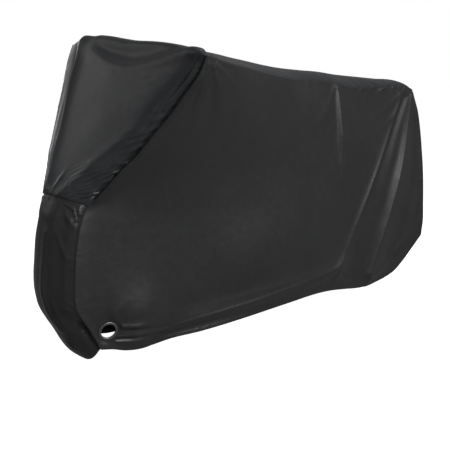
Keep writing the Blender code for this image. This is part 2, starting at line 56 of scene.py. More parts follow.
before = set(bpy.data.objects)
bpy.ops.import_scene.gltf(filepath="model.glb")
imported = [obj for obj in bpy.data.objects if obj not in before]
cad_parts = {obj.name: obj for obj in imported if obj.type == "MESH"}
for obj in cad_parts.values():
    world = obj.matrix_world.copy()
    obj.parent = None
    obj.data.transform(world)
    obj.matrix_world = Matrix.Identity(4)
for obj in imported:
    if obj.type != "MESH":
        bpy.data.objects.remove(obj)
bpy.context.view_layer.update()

HANG = np.array((-0.5536, 0.0031, 1.1247))  # where the cover hangs, in the ground's frame

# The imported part's grid, which the taut shape is worked out on
HOOD_STEPS = 16  # rows from the gathered seam up to the hood's top edge
HOOD_CLOSING = 1.25  # how much closer they stand near that edge; 1 spaces them evenly
GUSSET_STEPS = 13  # rows from the gathered seam down to the hem
LOW_STEPS = 8  # of those, the closer rows near the hem
LOW_ZONE = 0.55  # share of the gusset's length at which they begin
FRONT_COLUMNS = 6  # columns of a side panel round the eyelet
MIDDLE_COLUMNS = 11
REAR_COLUMNS = 19
FRONT_ZONE = 0.086  # share of a side panel's length that the front columns take
REAR_ZONE = 0.62  # share at which the closer columns of the tail begin
PACKED_CLOTH = 0.0020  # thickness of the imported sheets
SHARP_ANGLE = math.radians(60)  # faces that meet at more than this have a sharp edge

# The fine grids of the cloth, all even
STRIP_ACROSS = 196  # columns across the strip
STRIP_HOOD = 120  # its rows from the gathered seam up to the hood's top edge
STRIP_TOP = 190  # its rows along the top
STRIP_TAIL = 90  # its rows down the tail
GUSSET_ACROSS = 110
GUSSET_DOWN = 130
SIDE_HOOD = 130  # rows of a side panel beside the hood
SIDE_GUSSET = 110  # and beside the gusset
SIDE_LONG = 326  # its columns
FINE_CLOSER = 0.50  # how much closer they all stand near a seam than in between
RELAXING = 700  # passes that take the last kinks out of a side panel
TURN_ROWS = 30  # rows on each side of a turn in the strip that are rounded over
HOOD_TURN_PASSES = 30  # how often, at the hood's top edge
TAIL_TURN_PASSES = 12  # and at the tail's
TURN_FADE = 6  # the rounding is full a sixth of the way from a seam to the strip's middle
SWELL_CLEAR_ROWS = 4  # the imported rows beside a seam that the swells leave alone
SWELL_CLEAR_COLUMNS = 5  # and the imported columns

# Seams and hems
SEAM_GAP = 0.0003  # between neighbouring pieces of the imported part
SEAM_DIP = 0.0014  # depth of the groove along a seam
SEAM_REACH = 0.0030  # half the groove's width
SEAM_MEETS = 0.0015  # edges closer than this are sewn together
ALLOWANCE = 0.010  # width of the cloth turned in behind a seam
ALLOWANCE_LAYERS = 0.8  # what it adds to the sheet, in layers
STITCH_PITCH = 0.0042  # from one stitch to the next
STITCH_LONG = 0.0030
STITCH_WIDE = 0.0006
STITCH_HIGH = 0.0003  # above the cloth
STITCH_SUNK = 0.0002  # below its surface
STITCH_IN = 0.0050  # from a seam
HEM_STITCH_IN = 0.0185  # from a hem
HEM_WIDTH = 0.022  # of the cloth turned in at a hem
HEM_LAYERS = 1.2  # what it adds to the sheet, in layers
HEM_PROUD = 0.0010  # how far the hem stands out
HEM_FADE = 0.004  # over what width
HEM_GROOVE = 0.0008  # depth of the groove along its stitching
HEM_GROOVE_IN = 0.019  # from the hem's edge
HEM_GROOVE_HALF = 0.0025

# Eyelets
RING_BORE = 0.0252  # radius of the clear hole
RING_RADIUS = 0.0340  # radius of the flanges
RING_FLANGE = 0.0022  # thickness of a flange
RING_BARREL = 0.0019  # thickness of the barrel through the cloth
RING_SEGMENTS = 96
RING_CROWN_STEPS = 12  # of the rounded flange's section
RING_CROWN_FULL = 0.6  # 1 for a round flange, less for a flatter one
RING_ROLL_STEPS = 8  # of the rolled edge's section
RING_ROLL_WIDE = 0.95  # the rolled edge's width, as a share of the flange's
RING_EASE = 0.0001  # how far the barrel's inner wall stands back from the flanges' inner edges
RING_ROUGHNESS = 0.34
EYELET_FLAT = 0.034  # the cloth is flat this far from an eyelet's centre
EYELET_FREE = 0.050  # and has its own folds from here on
PATCH_RINGS = 26  # loops of points between a patch's edge and its hole
PATCH_CLOSING = 1.3  # how much closer they stand near the hole; 1 spaces them evenly
PATCH_DOUBLED = 0.5  # share of the way in by which the cloth is doubled
SEARCH_PASSES = 8  # that find a place on a panel's grid
SEARCH_STEP = 2.0  # cells that one pass moves at most

# Stage
FLOOR_RADIUS = 14.0
FLOOR_SHEEN = 0.20  # how bright the floor is in the cloth's sheen
FLOOR_GLOW = 0.88  # how bright it is by itself to the camera

# The strip from the gathered seam up the hood, along the top and down the tail. x, half and z place its left
# edge; mid_x and mid_z its middle; full is the exponent of its section, 2 for round and 4 for flat with round
# shoulders; flare is how far the shoulders stand out past the edges; far_x, far_y and far_z move the right
# edge from the left one's mirror image, because no side hangs like the other.
Station = namedtuple(
    "Station", "x half z mid_x mid_z full flare far_x far_y far_z", defaults=(2.4, 0.0, 0.0, 0.0, 0.0)
)
HOOD = (
    Station(-0.785, 0.100, 0.616, -0.856, 0.640, 2.4, 0.004, -0.034, 0.016, 0.000),
    Station(-0.759, 0.120, 0.645, -0.838, 0.668, 2.4, 0.006, -0.036, 0.036, 0.004),
    Station(-0.734, 0.143, 0.681, -0.810, 0.703, 2.5, 0.008, -0.038, 0.050, 0.006),
    Station(-0.703, 0.171, 0.727, -0.783, 0.745, 2.6, 0.010, -0.040, 0.060, 0.008),
    Station(-0.666, 0.203, 0.774, -0.753, 0.790, 2.7, 0.012, -0.042, 0.067, 0.010),
    Station(-0.636, 0.235, 0.826, -0.722, 0.838, 2.8, 0.014, -0.042, 0.068, 0.010),
    Station(-0.588, 0.286, 0.907, -0.672, 0.915, 3.0, 0.014, -0.046, 0.062, 0.010),
    Station(-0.556, 0.327, 0.975, -0.632, 0.986, 3.2, 0.012, -0.046, 0.052, 0.010),
    Station(-0.530, 0.364, 1.035, -0.592, 1.054, 3.8, 0.010, -0.044, 0.034, 0.012),
    Station(-0.520, 0.386, 1.088, -0.555, 1.126, 5.0, 0.004, -0.035, 0.006, 0.012),
)
TOP = (
    HOOD[-1],
    Station(-0.455, 0.340, 1.079, -0.490, 1.119, 3.6, 0.002, -0.030, 0.004, 0.008),
    Station(-0.358, 0.280, 1.059, -0.385, 1.099, 2.8, 0.000, -0.020, 0.002, 0.006),
    Station(-0.231, 0.210, 1.037, -0.245, 1.076, far_x=-0.010, far_z=0.005),
    Station(-0.131, 0.170, 1.016, -0.138, 1.055, far_x=-0.004, far_z=0.004),
    Station(-0.012, 0.140, 0.992, -0.014, 1.030, far_z=0.004),
    Station(0.100, 0.125, 0.974, 0.100, 1.010, far_z=0.003),
    Station(0.207, 0.120, 0.967, 0.207, 0.998),
    Station(0.293, 0.115, 0.955, 0.293, 0.990, far_z=0.002),
    Station(0.381, 0.110, 0.935, 0.381, 0.977, far_z=0.006),
    Station(0.472, 0.105, 0.927, 0.472, 0.966, far_z=0.005),
    Station(0.567, 0.100, 0.924, 0.567, 0.955),
    Station(0.658, 0.100, 0.925, 0.658, 0.945),
    Station(0.730, 0.100, 0.917, 0.732, 0.937),
    Station(0.764, 0.100, 0.905, 0.778, 0.920),
)
TAIL = (
    TOP[-1],
    Station(0.778, 0.100, 0.885, 0.800, 0.891),
    Station(0.790, 0.100, 0.862, 0.814, 0.865),
    Station(0.814, 0.100, 0.812, 0.839, 0.814, far_x=0.002, far_y=0.002),
    Station(0.834, 0.100, 0.746, 0.859, 0.747, far_x=0.003, far_y=0.004),
    Station(0.858, 0.100, 0.635, 0.883, 0.635, far_x=0.002, far_y=0.004),
    Station(0.874, 0.100, 0.545, 0.899, 0.545, far_y=0.003),
    Station(0.888, 0.100, 0.408, 0.911, 0.407, far_y=0.002),
    Station(0.894, 0.099, 0.293, 0.914, 0.291),
    Station(0.891, 0.095, 0.247, 0.906, 0.241, far_z=0.002),
)
GUSSET = (
    HOOD[0],
    Station(-0.804, 0.100, 0.589, -0.880, 0.596, flare=0.004, far_x=-0.028, far_y=0.008),
    Station(-0.816, 0.100, 0.558, -0.890, 0.562, flare=0.004, far_x=-0.018, far_y=0.004),
    Station(-0.830, 0.100, 0.495, -0.904, 0.498, flare=0.004, far_x=-0.010),
    Station(-0.838, 0.100, 0.447, -0.911, 0.450, flare=0.004, far_x=-0.004),
    Station(-0.843, 0.100, 0.381, -0.919, 0.384, flare=0.004),
    Station(-0.846, 0.100, 0.314, -0.920, 0.318, flare=0.004),
    Station(-0.843, 0.100, 0.279, -0.911, 0.274, flare=0.004),
    Station(-0.828, 0.100, 0.248, -0.893, 0.232, flare=0.004),
    Station(-0.804, 0.100, 0.208, -0.864, 0.178, flare=0.003),
    Station(-0.775, 0.100, 0.153, -0.818, 0.100, flare=0.002),
    Station(-0.756, 0.100, 0.118, -0.772, 0.062),
)

# The hem of a side panel, from the front seam to the tail, pulled in underneath
HemPoint = namedtuple("HemPoint", "x half z")
HEM = (
    HemPoint(-0.756, 0.100, 0.118),
    HemPoint(-0.710, 0.100, 0.108),
    HemPoint(-0.662, 0.098, 0.091),
    HemPoint(-0.601, 0.098, 0.081),
    HemPoint(-0.538, 0.100, 0.085),
    HemPoint(-0.496, 0.106, 0.091),
    HemPoint(-0.352, 0.115, 0.092),
    HemPoint(-0.165, 0.118, 0.097),
    HemPoint(0.036, 0.118, 0.106),
    HemPoint(0.255, 0.110, 0.110),
    HemPoint(0.310, 0.102, 0.104),
    HemPoint(0.422, 0.088, 0.085),
    HemPoint(0.491, 0.080, 0.072),
    HemPoint(0.559, 0.074, 0.066),
    HemPoint(0.629, 0.070, 0.072),
    HemPoint(0.696, 0.068, 0.082),
    HemPoint(0.754, 0.066, 0.099),
    HemPoint(0.802, 0.067, 0.132),
    HemPoint(0.856, 0.074, 0.186),
    HemPoint(0.891, 0.095, 0.247),
)

# Where a side panel stands off its taut line: x and z of the middle, how far out, and how wide and high.
Swell = namedtuple("Swell", "x z out wide high")
SWELLS = (
    Swell(-0.020, 0.340, 0.030, 0.330, 0.210),
    Swell(-0.610, 0.330, 0.012, 0.150, 0.200),
    Swell(-0.605, 0.200, 0.026, 0.105, 0.110),
)

# Folds and creases. a, b and c place the start, middle and end of the line, each as two lengths: X and Z on a
# side panel; Y and the length along the middle of the strip, from the gathered seam, on the others. wide is
# half the width at the start and the end. rise is how far it stands out at the start, the middle and the end,
# below zero for a trough. soft is 2 for a round fold and 0.2 for a sharp crease. lean makes one flank
# steeper: above zero the flank on the right hand as one goes from a to c.
Fold = namedtuple("Fold", "a b c wide rise soft lean", defaults=(2.0, 0.0))
ROUND_REACH = 3.5  # how many half widths a round fold is worked out over
SHARP_REACH = 6.0  # and a sharp crease
SHARP_FALL = 1.3  # how fast a sharp crease falls away from its line
FOLD_POINTS = 25  # along a fold's line
LEFT_FOLDS = (
    Fold((0.757, 0.875), (0.690, 0.530), (0.570, 0.130), (0.026, 0.046), (0.005, 0.020, 0.016), 0.9, 0.35),
    Fold((0.800, 0.750), (0.800, 0.420), (0.700, 0.190), (0.035, 0.045), (-0.004, -0.010, -0.010)),
    Fold((0.694, 0.880), (0.532, 0.510), (0.366, 0.205), (0.018, 0.030), (0.004, 0.011, 0.009), 0.9, 0.35),
    Fold((0.712, 0.870), (0.570, 0.530), (0.440, 0.260), (0.020, 0.030), (-0.004, -0.007, -0.002)),
    Fold((0.304, 0.940), (0.332, 0.740), (0.362, 0.530), (0.010, 0.018), (0.004, 0.007, 0.001), 0.8, 0.3),
    Fold((-0.500, 1.060), (-0.478, 0.980), (-0.460, 0.890), (0.020, 0.028), (0.004, 0.007, 0.001)),
    Fold((-0.455, 1.060), (-0.400, 0.980), (-0.345, 0.880), (0.022, 0.034), (0.004, 0.007, 0.001)),
    Fold((-0.620, 0.150), (-0.100, 0.165), (0.370, 0.195), (0.034, 0.040), (0.006, 0.012, 0.008)),
)
RIGHT_FOLDS = (
    Fold((0.750, 0.870), (0.650, 0.500), (0.500, 0.150), (0.030, 0.050), (0.005, 0.018, 0.014)),
    Fold((0.795, 0.760), (0.780, 0.430), (0.660, 0.190), (0.035, 0.045), (-0.003, -0.008, -0.008)),
    Fold((0.610, 0.900), (0.480, 0.560), (0.330, 0.210), (0.022, 0.036), (0.003, 0.010, 0.007)),
    Fold((0.180, 0.940), (0.215, 0.760), (0.240, 0.560), (0.026, 0.030), (0.003, 0.006, 0.001)),
    Fold((-0.520, 1.060), (-0.500, 0.970), (-0.500, 0.870), (0.020, 0.030), (0.004, 0.008, 0.001)),
    Fold((-0.470, 1.060), (-0.390, 0.960), (-0.300, 0.860), (0.022, 0.036), (0.004, 0.006, 0.001)),
    Fold((-0.600, 0.155), (-0.080, 0.160), (0.340, 0.190), (0.034, 0.040), (0.005, 0.011, 0.008)),
)
STRIP_FOLDS = (
    Fold((0.080, 0.570), (0.190, 0.585), (0.290, 0.565), (0.050, 0.050), (0.004, 0.013, 0.006)),
    Fold((-0.290, 0.575), (-0.345, 0.578), (-0.372, 0.578), (0.030, 0.030), (0.002, 0.012, 0.010)),
    Fold((0.282, 0.560), (0.215, 0.310), (0.055, 0.020), (0.030, 0.030), (0.006, 0.012, 0.006)),
    Fold((0.220, 0.570), (-0.030, 0.518), (-0.290, 0.572), (0.028, 0.028), (-0.003, -0.008, -0.003)),
    Fold((0.250, 0.550), (-0.030, 0.476), (-0.310, 0.558), (0.022, 0.022), (0.002, 0.007, 0.003)),
    Fold((-0.372, 0.560), (-0.318, 0.440), (-0.250, 0.320), (0.015, 0.018), (0.005, 0.009, 0.003)),
    Fold((-0.348, 0.545), (-0.292, 0.430), (-0.222, 0.310), (0.018, 0.020), (-0.003, -0.007, -0.002)),
    Fold((-0.030, 0.020), (-0.095, 0.135), (-0.190, 0.260), (0.026, 0.036), (0.004, 0.009, 0.003)),
)
GUSSET_FOLDS = (
    Fold((-0.022, 0.120), (-0.028, 0.300), (-0.040, 0.470), (0.014, 0.014), (0.003, 0.007, 0.004)),
    Fold((-0.072, 0.040), (-0.076, 0.200), (-0.080, 0.360), (0.020, 0.020), (-0.003, -0.008, -0.004)),
    Fold((-0.082, 0.400), (-0.082, 0.480), (-0.070, 0.560), (0.016, 0.020), (-0.005, -0.010, -0.005)),
    Fold((0.045, 0.100), (0.055, 0.260), (0.045, 0.450), (0.018, 0.018), (0.002, 0.005, 0.003)),
    Fold((0.080, 0.060), (0.082, 0.220), (0.080, 0.400), (0.016, 0.018), (-0.003, -0.006, -0.004)),
)

# The finer creases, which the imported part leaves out
LEFT_CREASES = (
    # the ridges that fan down from the tail's top corner, with the trough between them
    Fold((0.699, 0.885), (0.562, 0.585), (0.371, 0.215), (0.005, 0.008), (0.002, 0.0025, 0.001), 0.4, 0.4),
    Fold((0.716, 0.880), (0.590, 0.600), (0.450, 0.330), (0.009, 0.012), (-0.002, -0.005, -0.002), 0.6),
    Fold((0.760, 0.880), (0.700, 0.560), (0.566, 0.130), (0.007, 0.009), (0.002, 0.004, 0.004), 0.4, 0.4),
    Fold((0.735, 0.860), (0.660, 0.640), (0.600, 0.420), (0.012, 0.020), (0.002, 0.003, 0.001), 1.0),
    Fold((0.728, 0.890), (0.640, 0.790), (0.560, 0.740), (0.008, 0.016), (0.002, 0.002, 0.000), 0.6),
    Fold((0.700, 0.895), (0.600, 0.830), (0.520, 0.800), (0.008, 0.018), (0.002, 0.002, 0.000), 0.6),
    # the edge above the cloth that turns under at the tail, and the dent at the foot of the first ridge
    Fold((0.888, 0.330), (0.800, 0.240), (0.705, 0.170), (0.012, 0.014), (0.002, 0.004, 0.003), 0.5, -0.4),
    Fold((0.705, 0.165), (0.640, 0.125), (0.560, 0.118), (0.012, 0.014), (0.003, 0.004, 0.002), 0.5, -0.4),
    Fold((0.371, 0.215), (0.400, 0.150), (0.470, 0.125), (0.010, 0.014), (-0.002, -0.005, -0.003), 1.0),
    # the short upright ridge under the top seam
    Fold((0.301, 0.948), (0.328, 0.750), (0.357, 0.520), (0.008, 0.014), (0.003, 0.007, 0.001), 0.6, 0.2),
    Fold((0.290, 0.940), (0.240, 0.850), (0.188, 0.780), (0.008, 0.020), (0.002, 0.002, 0.000), 0.8),
    # the fan from the hood's corner
    Fold((-0.500, 1.060), (-0.492, 0.985), (-0.485, 0.900), (0.007, 0.014), (0.004, 0.003, 0.000), 0.6),
    Fold((-0.470, 1.058), (-0.400, 0.985), (-0.347, 0.900), (0.007, 0.016), (0.004, 0.004, 0.001), 0.6),
    Fold((-0.440, 1.055), (-0.330, 1.000), (-0.219, 0.910), (0.007, 0.020), (0.003, 0.003, 0.000), 0.6),
    # the fan from the eyelet
    Fold((-0.704, 0.195), (-0.610, 0.182), (-0.500, 0.164), (0.006, 0.010), (0.004, 0.006, 0.001), 0.4),
    Fold((-0.701, 0.154), (-0.610, 0.148), (-0.500, 0.140), (0.005, 0.008), (0.004, 0.006, 0.001), 0.4),
    Fold((-0.694, 0.134), (-0.620, 0.120), (-0.520, 0.112), (0.005, 0.008), (0.004, 0.005, 0.001), 0.4),
    Fold((-0.690, 0.172), (-0.600, 0.166), (-0.500, 0.152), (0.005, 0.008), (-0.004, -0.006, -0.001), 0.5),
    Fold((-0.700, 0.142), (-0.610, 0.133), (-0.500, 0.126), (0.004, 0.006), (-0.004, -0.006, -0.001), 0.5),
    Fold((-0.716, 0.222), (-0.690, 0.262), (-0.650, 0.300), (0.006, 0.012), (0.002, 0.002, 0.000), 0.8),
    # the roll above the hem and the cloth that turns under it
    Fold((-0.560, 0.140), (-0.150, 0.165), (0.340, 0.200), (0.008, 0.012), (0.002, 0.004, 0.003), 0.5, -0.5),
    Fold((-0.560, 0.112), (-0.300, 0.118), (-0.050, 0.128), (0.012, 0.014), (-0.004, -0.006, -0.002), 0.9),
    Fold((0.365, 0.215), (0.250, 0.170), (0.080, 0.150), (0.010, 0.016), (0.003, 0.004, 0.001), 0.6),
)
RIGHT_CREASES = (
    Fold((0.750, 0.880), (0.655, 0.520), (0.500, 0.150), (0.009, 0.013), (0.002, 0.006, 0.004), 0.4, -0.5),
    Fold((0.620, 0.900), (0.485, 0.570), (0.330, 0.210), (0.008, 0.013), (0.002, 0.005, 0.003), 0.4, -0.5),
    Fold((0.640, 0.895), (0.520, 0.600), (0.400, 0.330), (0.009, 0.012), (-0.002, -0.005, -0.002), 0.6),
    Fold((0.720, 0.885), (0.630, 0.760), (0.540, 0.700), (0.008, 0.018), (0.002, 0.002, 0.000), 0.6),
    Fold((0.178, 0.945), (0.210, 0.770), (0.242, 0.580), (0.006, 0.014), (0.003, 0.005, 0.001), 0.5, -0.4),
    Fold((-0.525, 1.060), (-0.505, 0.980), (-0.500, 0.880), (0.007, 0.016), (0.004, 0.004, 0.000), 0.6),
    Fold((-0.480, 1.055), (-0.395, 0.965), (-0.310, 0.870), (0.007, 0.018), (0.004, 0.004, 0.001), 0.6),
    Fold((-0.440, 1.050), (-0.290, 0.990), (-0.170, 0.930), (0.007, 0.020), (0.003, 0.003, 0.000), 0.6),
    Fold((-0.690, 0.195), (-0.590, 0.160), (-0.480, 0.125), (0.006, 0.012), (0.004, 0.004, 0.001), 0.5),
    Fold((-0.690, 0.220), (-0.600, 0.205), (-0.520, 0.180), (0.006, 0.014), (0.003, 0.003, 0.000), 0.5),
    Fold((-0.540, 0.140), (-0.100, 0.160), (0.320, 0.195), (0.010, 0.014), (0.002, 0.005, 0.003), 0.5, 0.5),
)
HOOD_CREASES = (
    # the swags under the hood's top edge
    Fold((0.230, 0.566), (-0.020, 0.497), (-0.325, 0.572), (0.018, 0.018), (0.001, 0.003, 0.001), 1.2, 0.4),
    Fold((0.218, 0.525), (0.010, 0.455), (-0.140, 0.440), (0.020, 0.022), (0.001, 0.002, 0.000), 1.2, 0.4),
    Fold((0.240, 0.560), (0.000, 0.535), (-0.300, 0.574), (0.018, 0.016), (-0.001, -0.003, -0.001), 1.2),
    # the soft ridge up the middle and the short one beside it
    Fold((-0.026, 0.010), (-0.120, 0.175), (-0.215, 0.300), (0.022, 0.032), (0.003, 0.003, 0.001), 1.4, 0.3),
    Fold((0.009, 0.012), (0.010, 0.065), (0.007, 0.120), (0.006, 0.009), (0.003, 0.004, 0.000), 0.6),
    # the far ridge, steep on its far side, and the hollow strip beyond it
    Fold((0.272, 0.560), (0.222, 0.380), (0.052, 0.030), (0.020, 0.020), (0.006, 0.009, 0.006), 0.15, -0.45),
    Fold((0.318, 0.545), (0.262, 0.400), (0.150, 0.200), (0.012, 0.010), (-0.007, -0.012, -0.003), 0.6),
    # the crease beside the near seam, and the hook at its foot
    Fold(
        (-0.360, 0.562), (-0.312, 0.452), (-0.262, 0.345), (0.007, 0.008), (-0.006, -0.010, -0.005), 0.4, -0.3
    ),
    Fold((-0.345, 0.556), (-0.296, 0.446), (-0.246, 0.340), (0.010, 0.012), (0.003, 0.004, 0.002), 0.8),
    Fold((-0.264, 0.338), (-0.244, 0.330), (-0.216, 0.336), (0.004, 0.005), (-0.003, -0.005, -0.001), 0.4),
    # short wrinkles by the gathered seam
    Fold((-0.105, 0.030), (-0.150, 0.090), (-0.165, 0.140), (0.006, 0.010), (0.004, 0.005, 0.001), 0.5),
    Fold((-0.120, 0.100), (-0.165, 0.160), (-0.190, 0.215), (0.006, 0.009), (0.002, 0.004, 0.001), 0.5),
    Fold((-0.130, 0.060), (-0.175, 0.120), (-0.205, 0.165), (0.005, 0.008), (-0.003, -0.004, -0.001), 0.5),
)
GUSSET_CREASES = (
    Fold((-0.024, 0.150), (-0.030, 0.310), (-0.038, 0.465), (0.005, 0.006), (0.001, 0.005, 0.003), 0.5, 0.5),
    Fold((-0.053, 0.330), (-0.060, 0.400), (-0.055, 0.470), (0.006, 0.006), (0.001, 0.004, 0.002), 0.5),
    Fold((-0.058, 0.110), (-0.075, 0.160), (-0.092, 0.205), (0.005, 0.006), (0.001, 0.004, 0.001), 0.5),
    Fold((-0.066, 0.040), (-0.082, 0.072), (-0.096, 0.098), (0.005, 0.006), (0.003, 0.004, 0.001), 0.5),
    Fold((-0.060, 0.015), (-0.080, 0.028), (-0.100, 0.036), (0.004, 0.005), (0.003, 0.004, 0.001), 0.5),
    Fold((-0.090, 0.455), (-0.094, 0.510), (-0.092, 0.560), (0.006, 0.007), (-0.002, -0.004, -0.002), 0.6),
    Fold((-0.028, 0.530), (-0.042, 0.560), (-0.055, 0.580), (0.006, 0.006), (0.002, 0.003, 0.001), 0.6),
    Fold((0.048, 0.120), (0.056, 0.270), (0.048, 0.440), (0.006, 0.006), (0.001, 0.004, 0.002), 0.5, -0.5),
)

# Puckers along a seam: start and end along it, the pitch of the waves, how high they stand, how far from the
# seam they reach, a number that sets their irregularity, and how much they slant back towards the start.
Pucker = namedtuple("Pucker", "start end pitch high long seed slant", defaults=(0.0,))
PUCKER_WANDER = 2.3  # how far the waves wander from their even places, as an angle
PUCKER_BARE = 0.004  # width of the flat strip at the seam itself
HOOD_SEAM_PUCKERS = (
    Pucker(-0.02, 0.24, 0.030, 0.0044, 0.050, 11, 1.1),
    Pucker(-0.02, 0.24, 0.019, 0.0022, 0.026, 14, 0.2),
    Pucker(0.10, 0.44, 0.044, 0.0030, 0.036, 12, 1.0),
    Pucker(0.20, 0.60, 0.021, 0.0022, 0.018, 13, 0.2),
)
FAR_SEAM_PUCKERS = (Pucker(0.00, 0.60, 0.030, 0.0022, 0.026, 21, 0.8),)
GATHER_PUCKERS = (
    Pucker(-0.02, 0.40, 0.0110, 0.0011, 0.010, 31),
    Pucker(-0.02, 0.40, 0.024, 0.0018, 0.026, 32, 0.4),
)
TOP_SEAM_PUCKERS = (
    Pucker(0.00, 0.28, 0.024, 0.0022, 0.030, 41),
    Pucker(0.26, 0.85, 0.060, 0.0010, 0.030, 42),
    Pucker(0.80, 1.34, 0.056, 0.0030, 0.022, 43, 0.7),
    Pucker(0.80, 1.34, 0.023, 0.0012, 0.012, 44, 0.5),
)
TAIL_SEAM_PUCKERS = (
    Pucker(0.00, 0.10, 0.016, 0.0018, 0.020, 51),
    Pucker(0.05, 0.75, 0.034, 0.0010, 0.022, 52),
)
GUSSET_SEAM_PUCKERS = (
    Pucker(0.00, 0.12, 0.024, 0.0024, 0.030, 61, -0.5),
    Pucker(0.10, 0.30, 0.026, 0.0009, 0.018, 62),
    Pucker(0.30, 0.50, 0.024, 0.0016, 0.020, 63, 0.4),
)
FRONT_SEAM_PUCKERS = (
    Pucker(-0.56, -0.02, 0.030, 0.0009, 0.018, 65),
    Pucker(0.02, 0.62, 0.026, 0.0005, 0.014, 66),
)
HEM_PUCKERS = (Pucker(-0.02, 1.80, 0.023, 0.0010, 0.024, 71),)

# Swellings along a seam: how high, below zero for a trough, how far from the seam they peak, where along it
# they start and end, and over what length they come and go.
Rim = namedtuple("Rim", "high reach start end soft", defaults=(-math.inf, math.inf, 0.04))
HOOD_RIM_STOP = 0.010  # the hood's rims end this far before its top edge
NEAR_HOOD_RIM = Rim(-0.0120, 0.0065, 0.035, soft=0.06)
FAR_HOOD_RIM = Rim(-0.0040, 0.0070, 0.035, soft=0.06)
STRIP_RIM = Rim(-0.0020, 0.0050, 0.02)
GUSSET_RIM = Rim(-0.0020, 0.0050)
GUSSET_NEAR_DENT = Rim(-0.0130, 0.0130, 0.40, 0.54, 0.08)
GUSSET_FAR_DENT = GUSSET_NEAR_DENT._replace(high=-0.0090)
LEFT_HOOD_RIM = Rim(0.0050, 0.0100, -0.56, -0.02, 0.05)
RIGHT_HOOD_RIM = LEFT_HOOD_RIM._replace(high=0.0015)
SIDE_GUSSET_RIM = Rim(0.0016, 0.0070, 0.03, 0.50, 0.05)
SIDE_TOP_RIM = Rim(0.0015, 0.0070, 0.04)
SIDE_TAIL_RIM = Rim(0.0012, 0.0060)

# Slow unevenness of a whole panel: how high, how long its waves, a number that sets it, and the width beside
# a seam over which it dies out.
Rumple = namedtuple("Rumple", "high pitch seed clear")
STRIP_RUMPLE = Rumple(0.0007, 0.26, 81, 0.040)
GUSSET_RUMPLE = Rumple(0.0006, 0.110, 91, 0.030)
SIDE_RUMPLE = Rumple(0.0010, 0.46, 101, 0.080)
OTHER_SEAM = 100  # added to a seed for the same seam on the strip's other edge
OTHER_SIDE = 200  # and for the right side panel

# How near a seam the folds, creases and puckers die out
STRIP_FOLD_CLEAR = 0.030
STRIP_CREASE_CLEAR = 0.012
GUSSET_FOLD_CLEAR = 0.020
GUSSET_CREASE_CLEAR = 0.006
SIDE_FOLD_CLEAR = 0.030
SIDE_CREASE_CLEAR = 0.008
GATHER_FOLD_CLEAR = 0.020  # at the gathered seam
GATHER_CREASE_CLEAR = 0.006
CORNER_CLEAR = 0.010  # for one seam's puckers beside the next seam
HOOD_END_SOFT = 0.03  # the length over which the hood's puckers end at its top edge
HEM_QUIET = 0.35  # share of a side panel's folds that is left at its hem
HEM_QUIET_REACH = 0.035


# ---------------------------------------------------------------------------------------------------------
# Curves and grids


def distances(points):
    """The distance along a line of points to each of them."""
    steps = np.linalg.norm(np.diff(points, axis=0), axis=1)
    return np.concatenate([[0.0], np.cumsum(steps)])


def shares_of(points):
    """The share of a line's length that lies before each of its points."""
    along = distances(points)
    return along / along[-1]


def smooth_through(places, values, at):
    """The smooth curve through values at places, read at other places, with slopes from its chords."""
    places = np.asarray(places, float)
    values = np.asarray(values, float)
    at = np.clip(np.asarray(at, float), places[0], places[-1])
    chords = np.diff(values, axis=0) / np.diff(places)[:, None]
    spans = np.diff(places)[:, None]
    slopes = np.empty_like(values)
    slopes[1:-1] = (chords[:-1] * spans[1:] + chords[1:] * spans[:-1]) / (spans[1:] + spans[:-1])
    slopes[0] = 1.5 * chords[0] - 0.5 * slopes[1]
    slopes[-1] = 1.5 * chords[-1] - 0.5 * slopes[-2]
    k = np.clip(np.searchsorted(places, at, side="right") - 1, 0, len(places) - 2)
    h = (places[k + 1] - places[k])[:, None]
    s = ((at - places[k]) / (places[k + 1] - places[k]))[:, None]
    return (
        (1 + 2 * s) * (1 - s) ** 2 * values[k]
        + s * (1 - s) ** 2 * h * slopes[k]
        + s * s * (3 - 2 * s) * values[k + 1]
        - s * s * (1 - s) * h * slopes[k + 1]
    )


def eased(count, closer=FINE_CLOSER):
    """Shares from nought to one, closer together at both ends."""
    t = np.linspace(0, 1, count + 1)
    return t - closer * np.sin(2 * math.pi * t) / (2 * math.pi)


def strip_grid(rows, fractions, across):
    """The points of a strip: a row for each fraction of its length, a column for each place across it."""
    along = distances(np.array([(row.x, -row.half, row.z) for row in rows]))
    table = smooth_through(along, np.array(rows), np.asarray(fractions) * along[-1])
    grid = np.empty((len(fractions), len(across), 3))
    t = np.asarray(across, float)
    for i, values in enumerate(table):
        row = Station(*values)
        left = np.array([row.x, -row.half, row.z])
        right = np.array([row.x + row.far_x, row.half + row.far_y, row.z + row.far_z])
        middle = np.array([row.mid_x, (left[1] + right[1]) / 2, row.mid_z])
        crown = (1 - np.abs(t) ** row.full)[:, None]
        line = left * (1 - t)[:, None] / 2 + right * (1 + t)[:, None] / 2
        grid[i] = line + (middle - (left + right) / 2) * crown
        grid[i, :, 1] += row.flare * np.sign(t) * np.sin(math.pi * np.abs(t) ** 3) ** 2
    return grid


def between_edges(front, top, tail, hem):
    """The plain blend of a panel's four edges: rows run down, columns run back."""
    u = ((shares_of(top) + shares_of(hem)) / 2)[None, :, None]
    v = ((shares_of(front) + shares_of(tail)) / 2)[:, None, None]
    return (
        (1 - v) * top[None]
        + v * hem[None]
        + (1 - u) * front[:, None]
        + u * tail[:, None]
        - (1 - u) * (1 - v) * top[0]
        - u * (1 - v) * top[-1]
        - (1 - u) * v * hem[0]
        - u * v * hem[-1]
    )


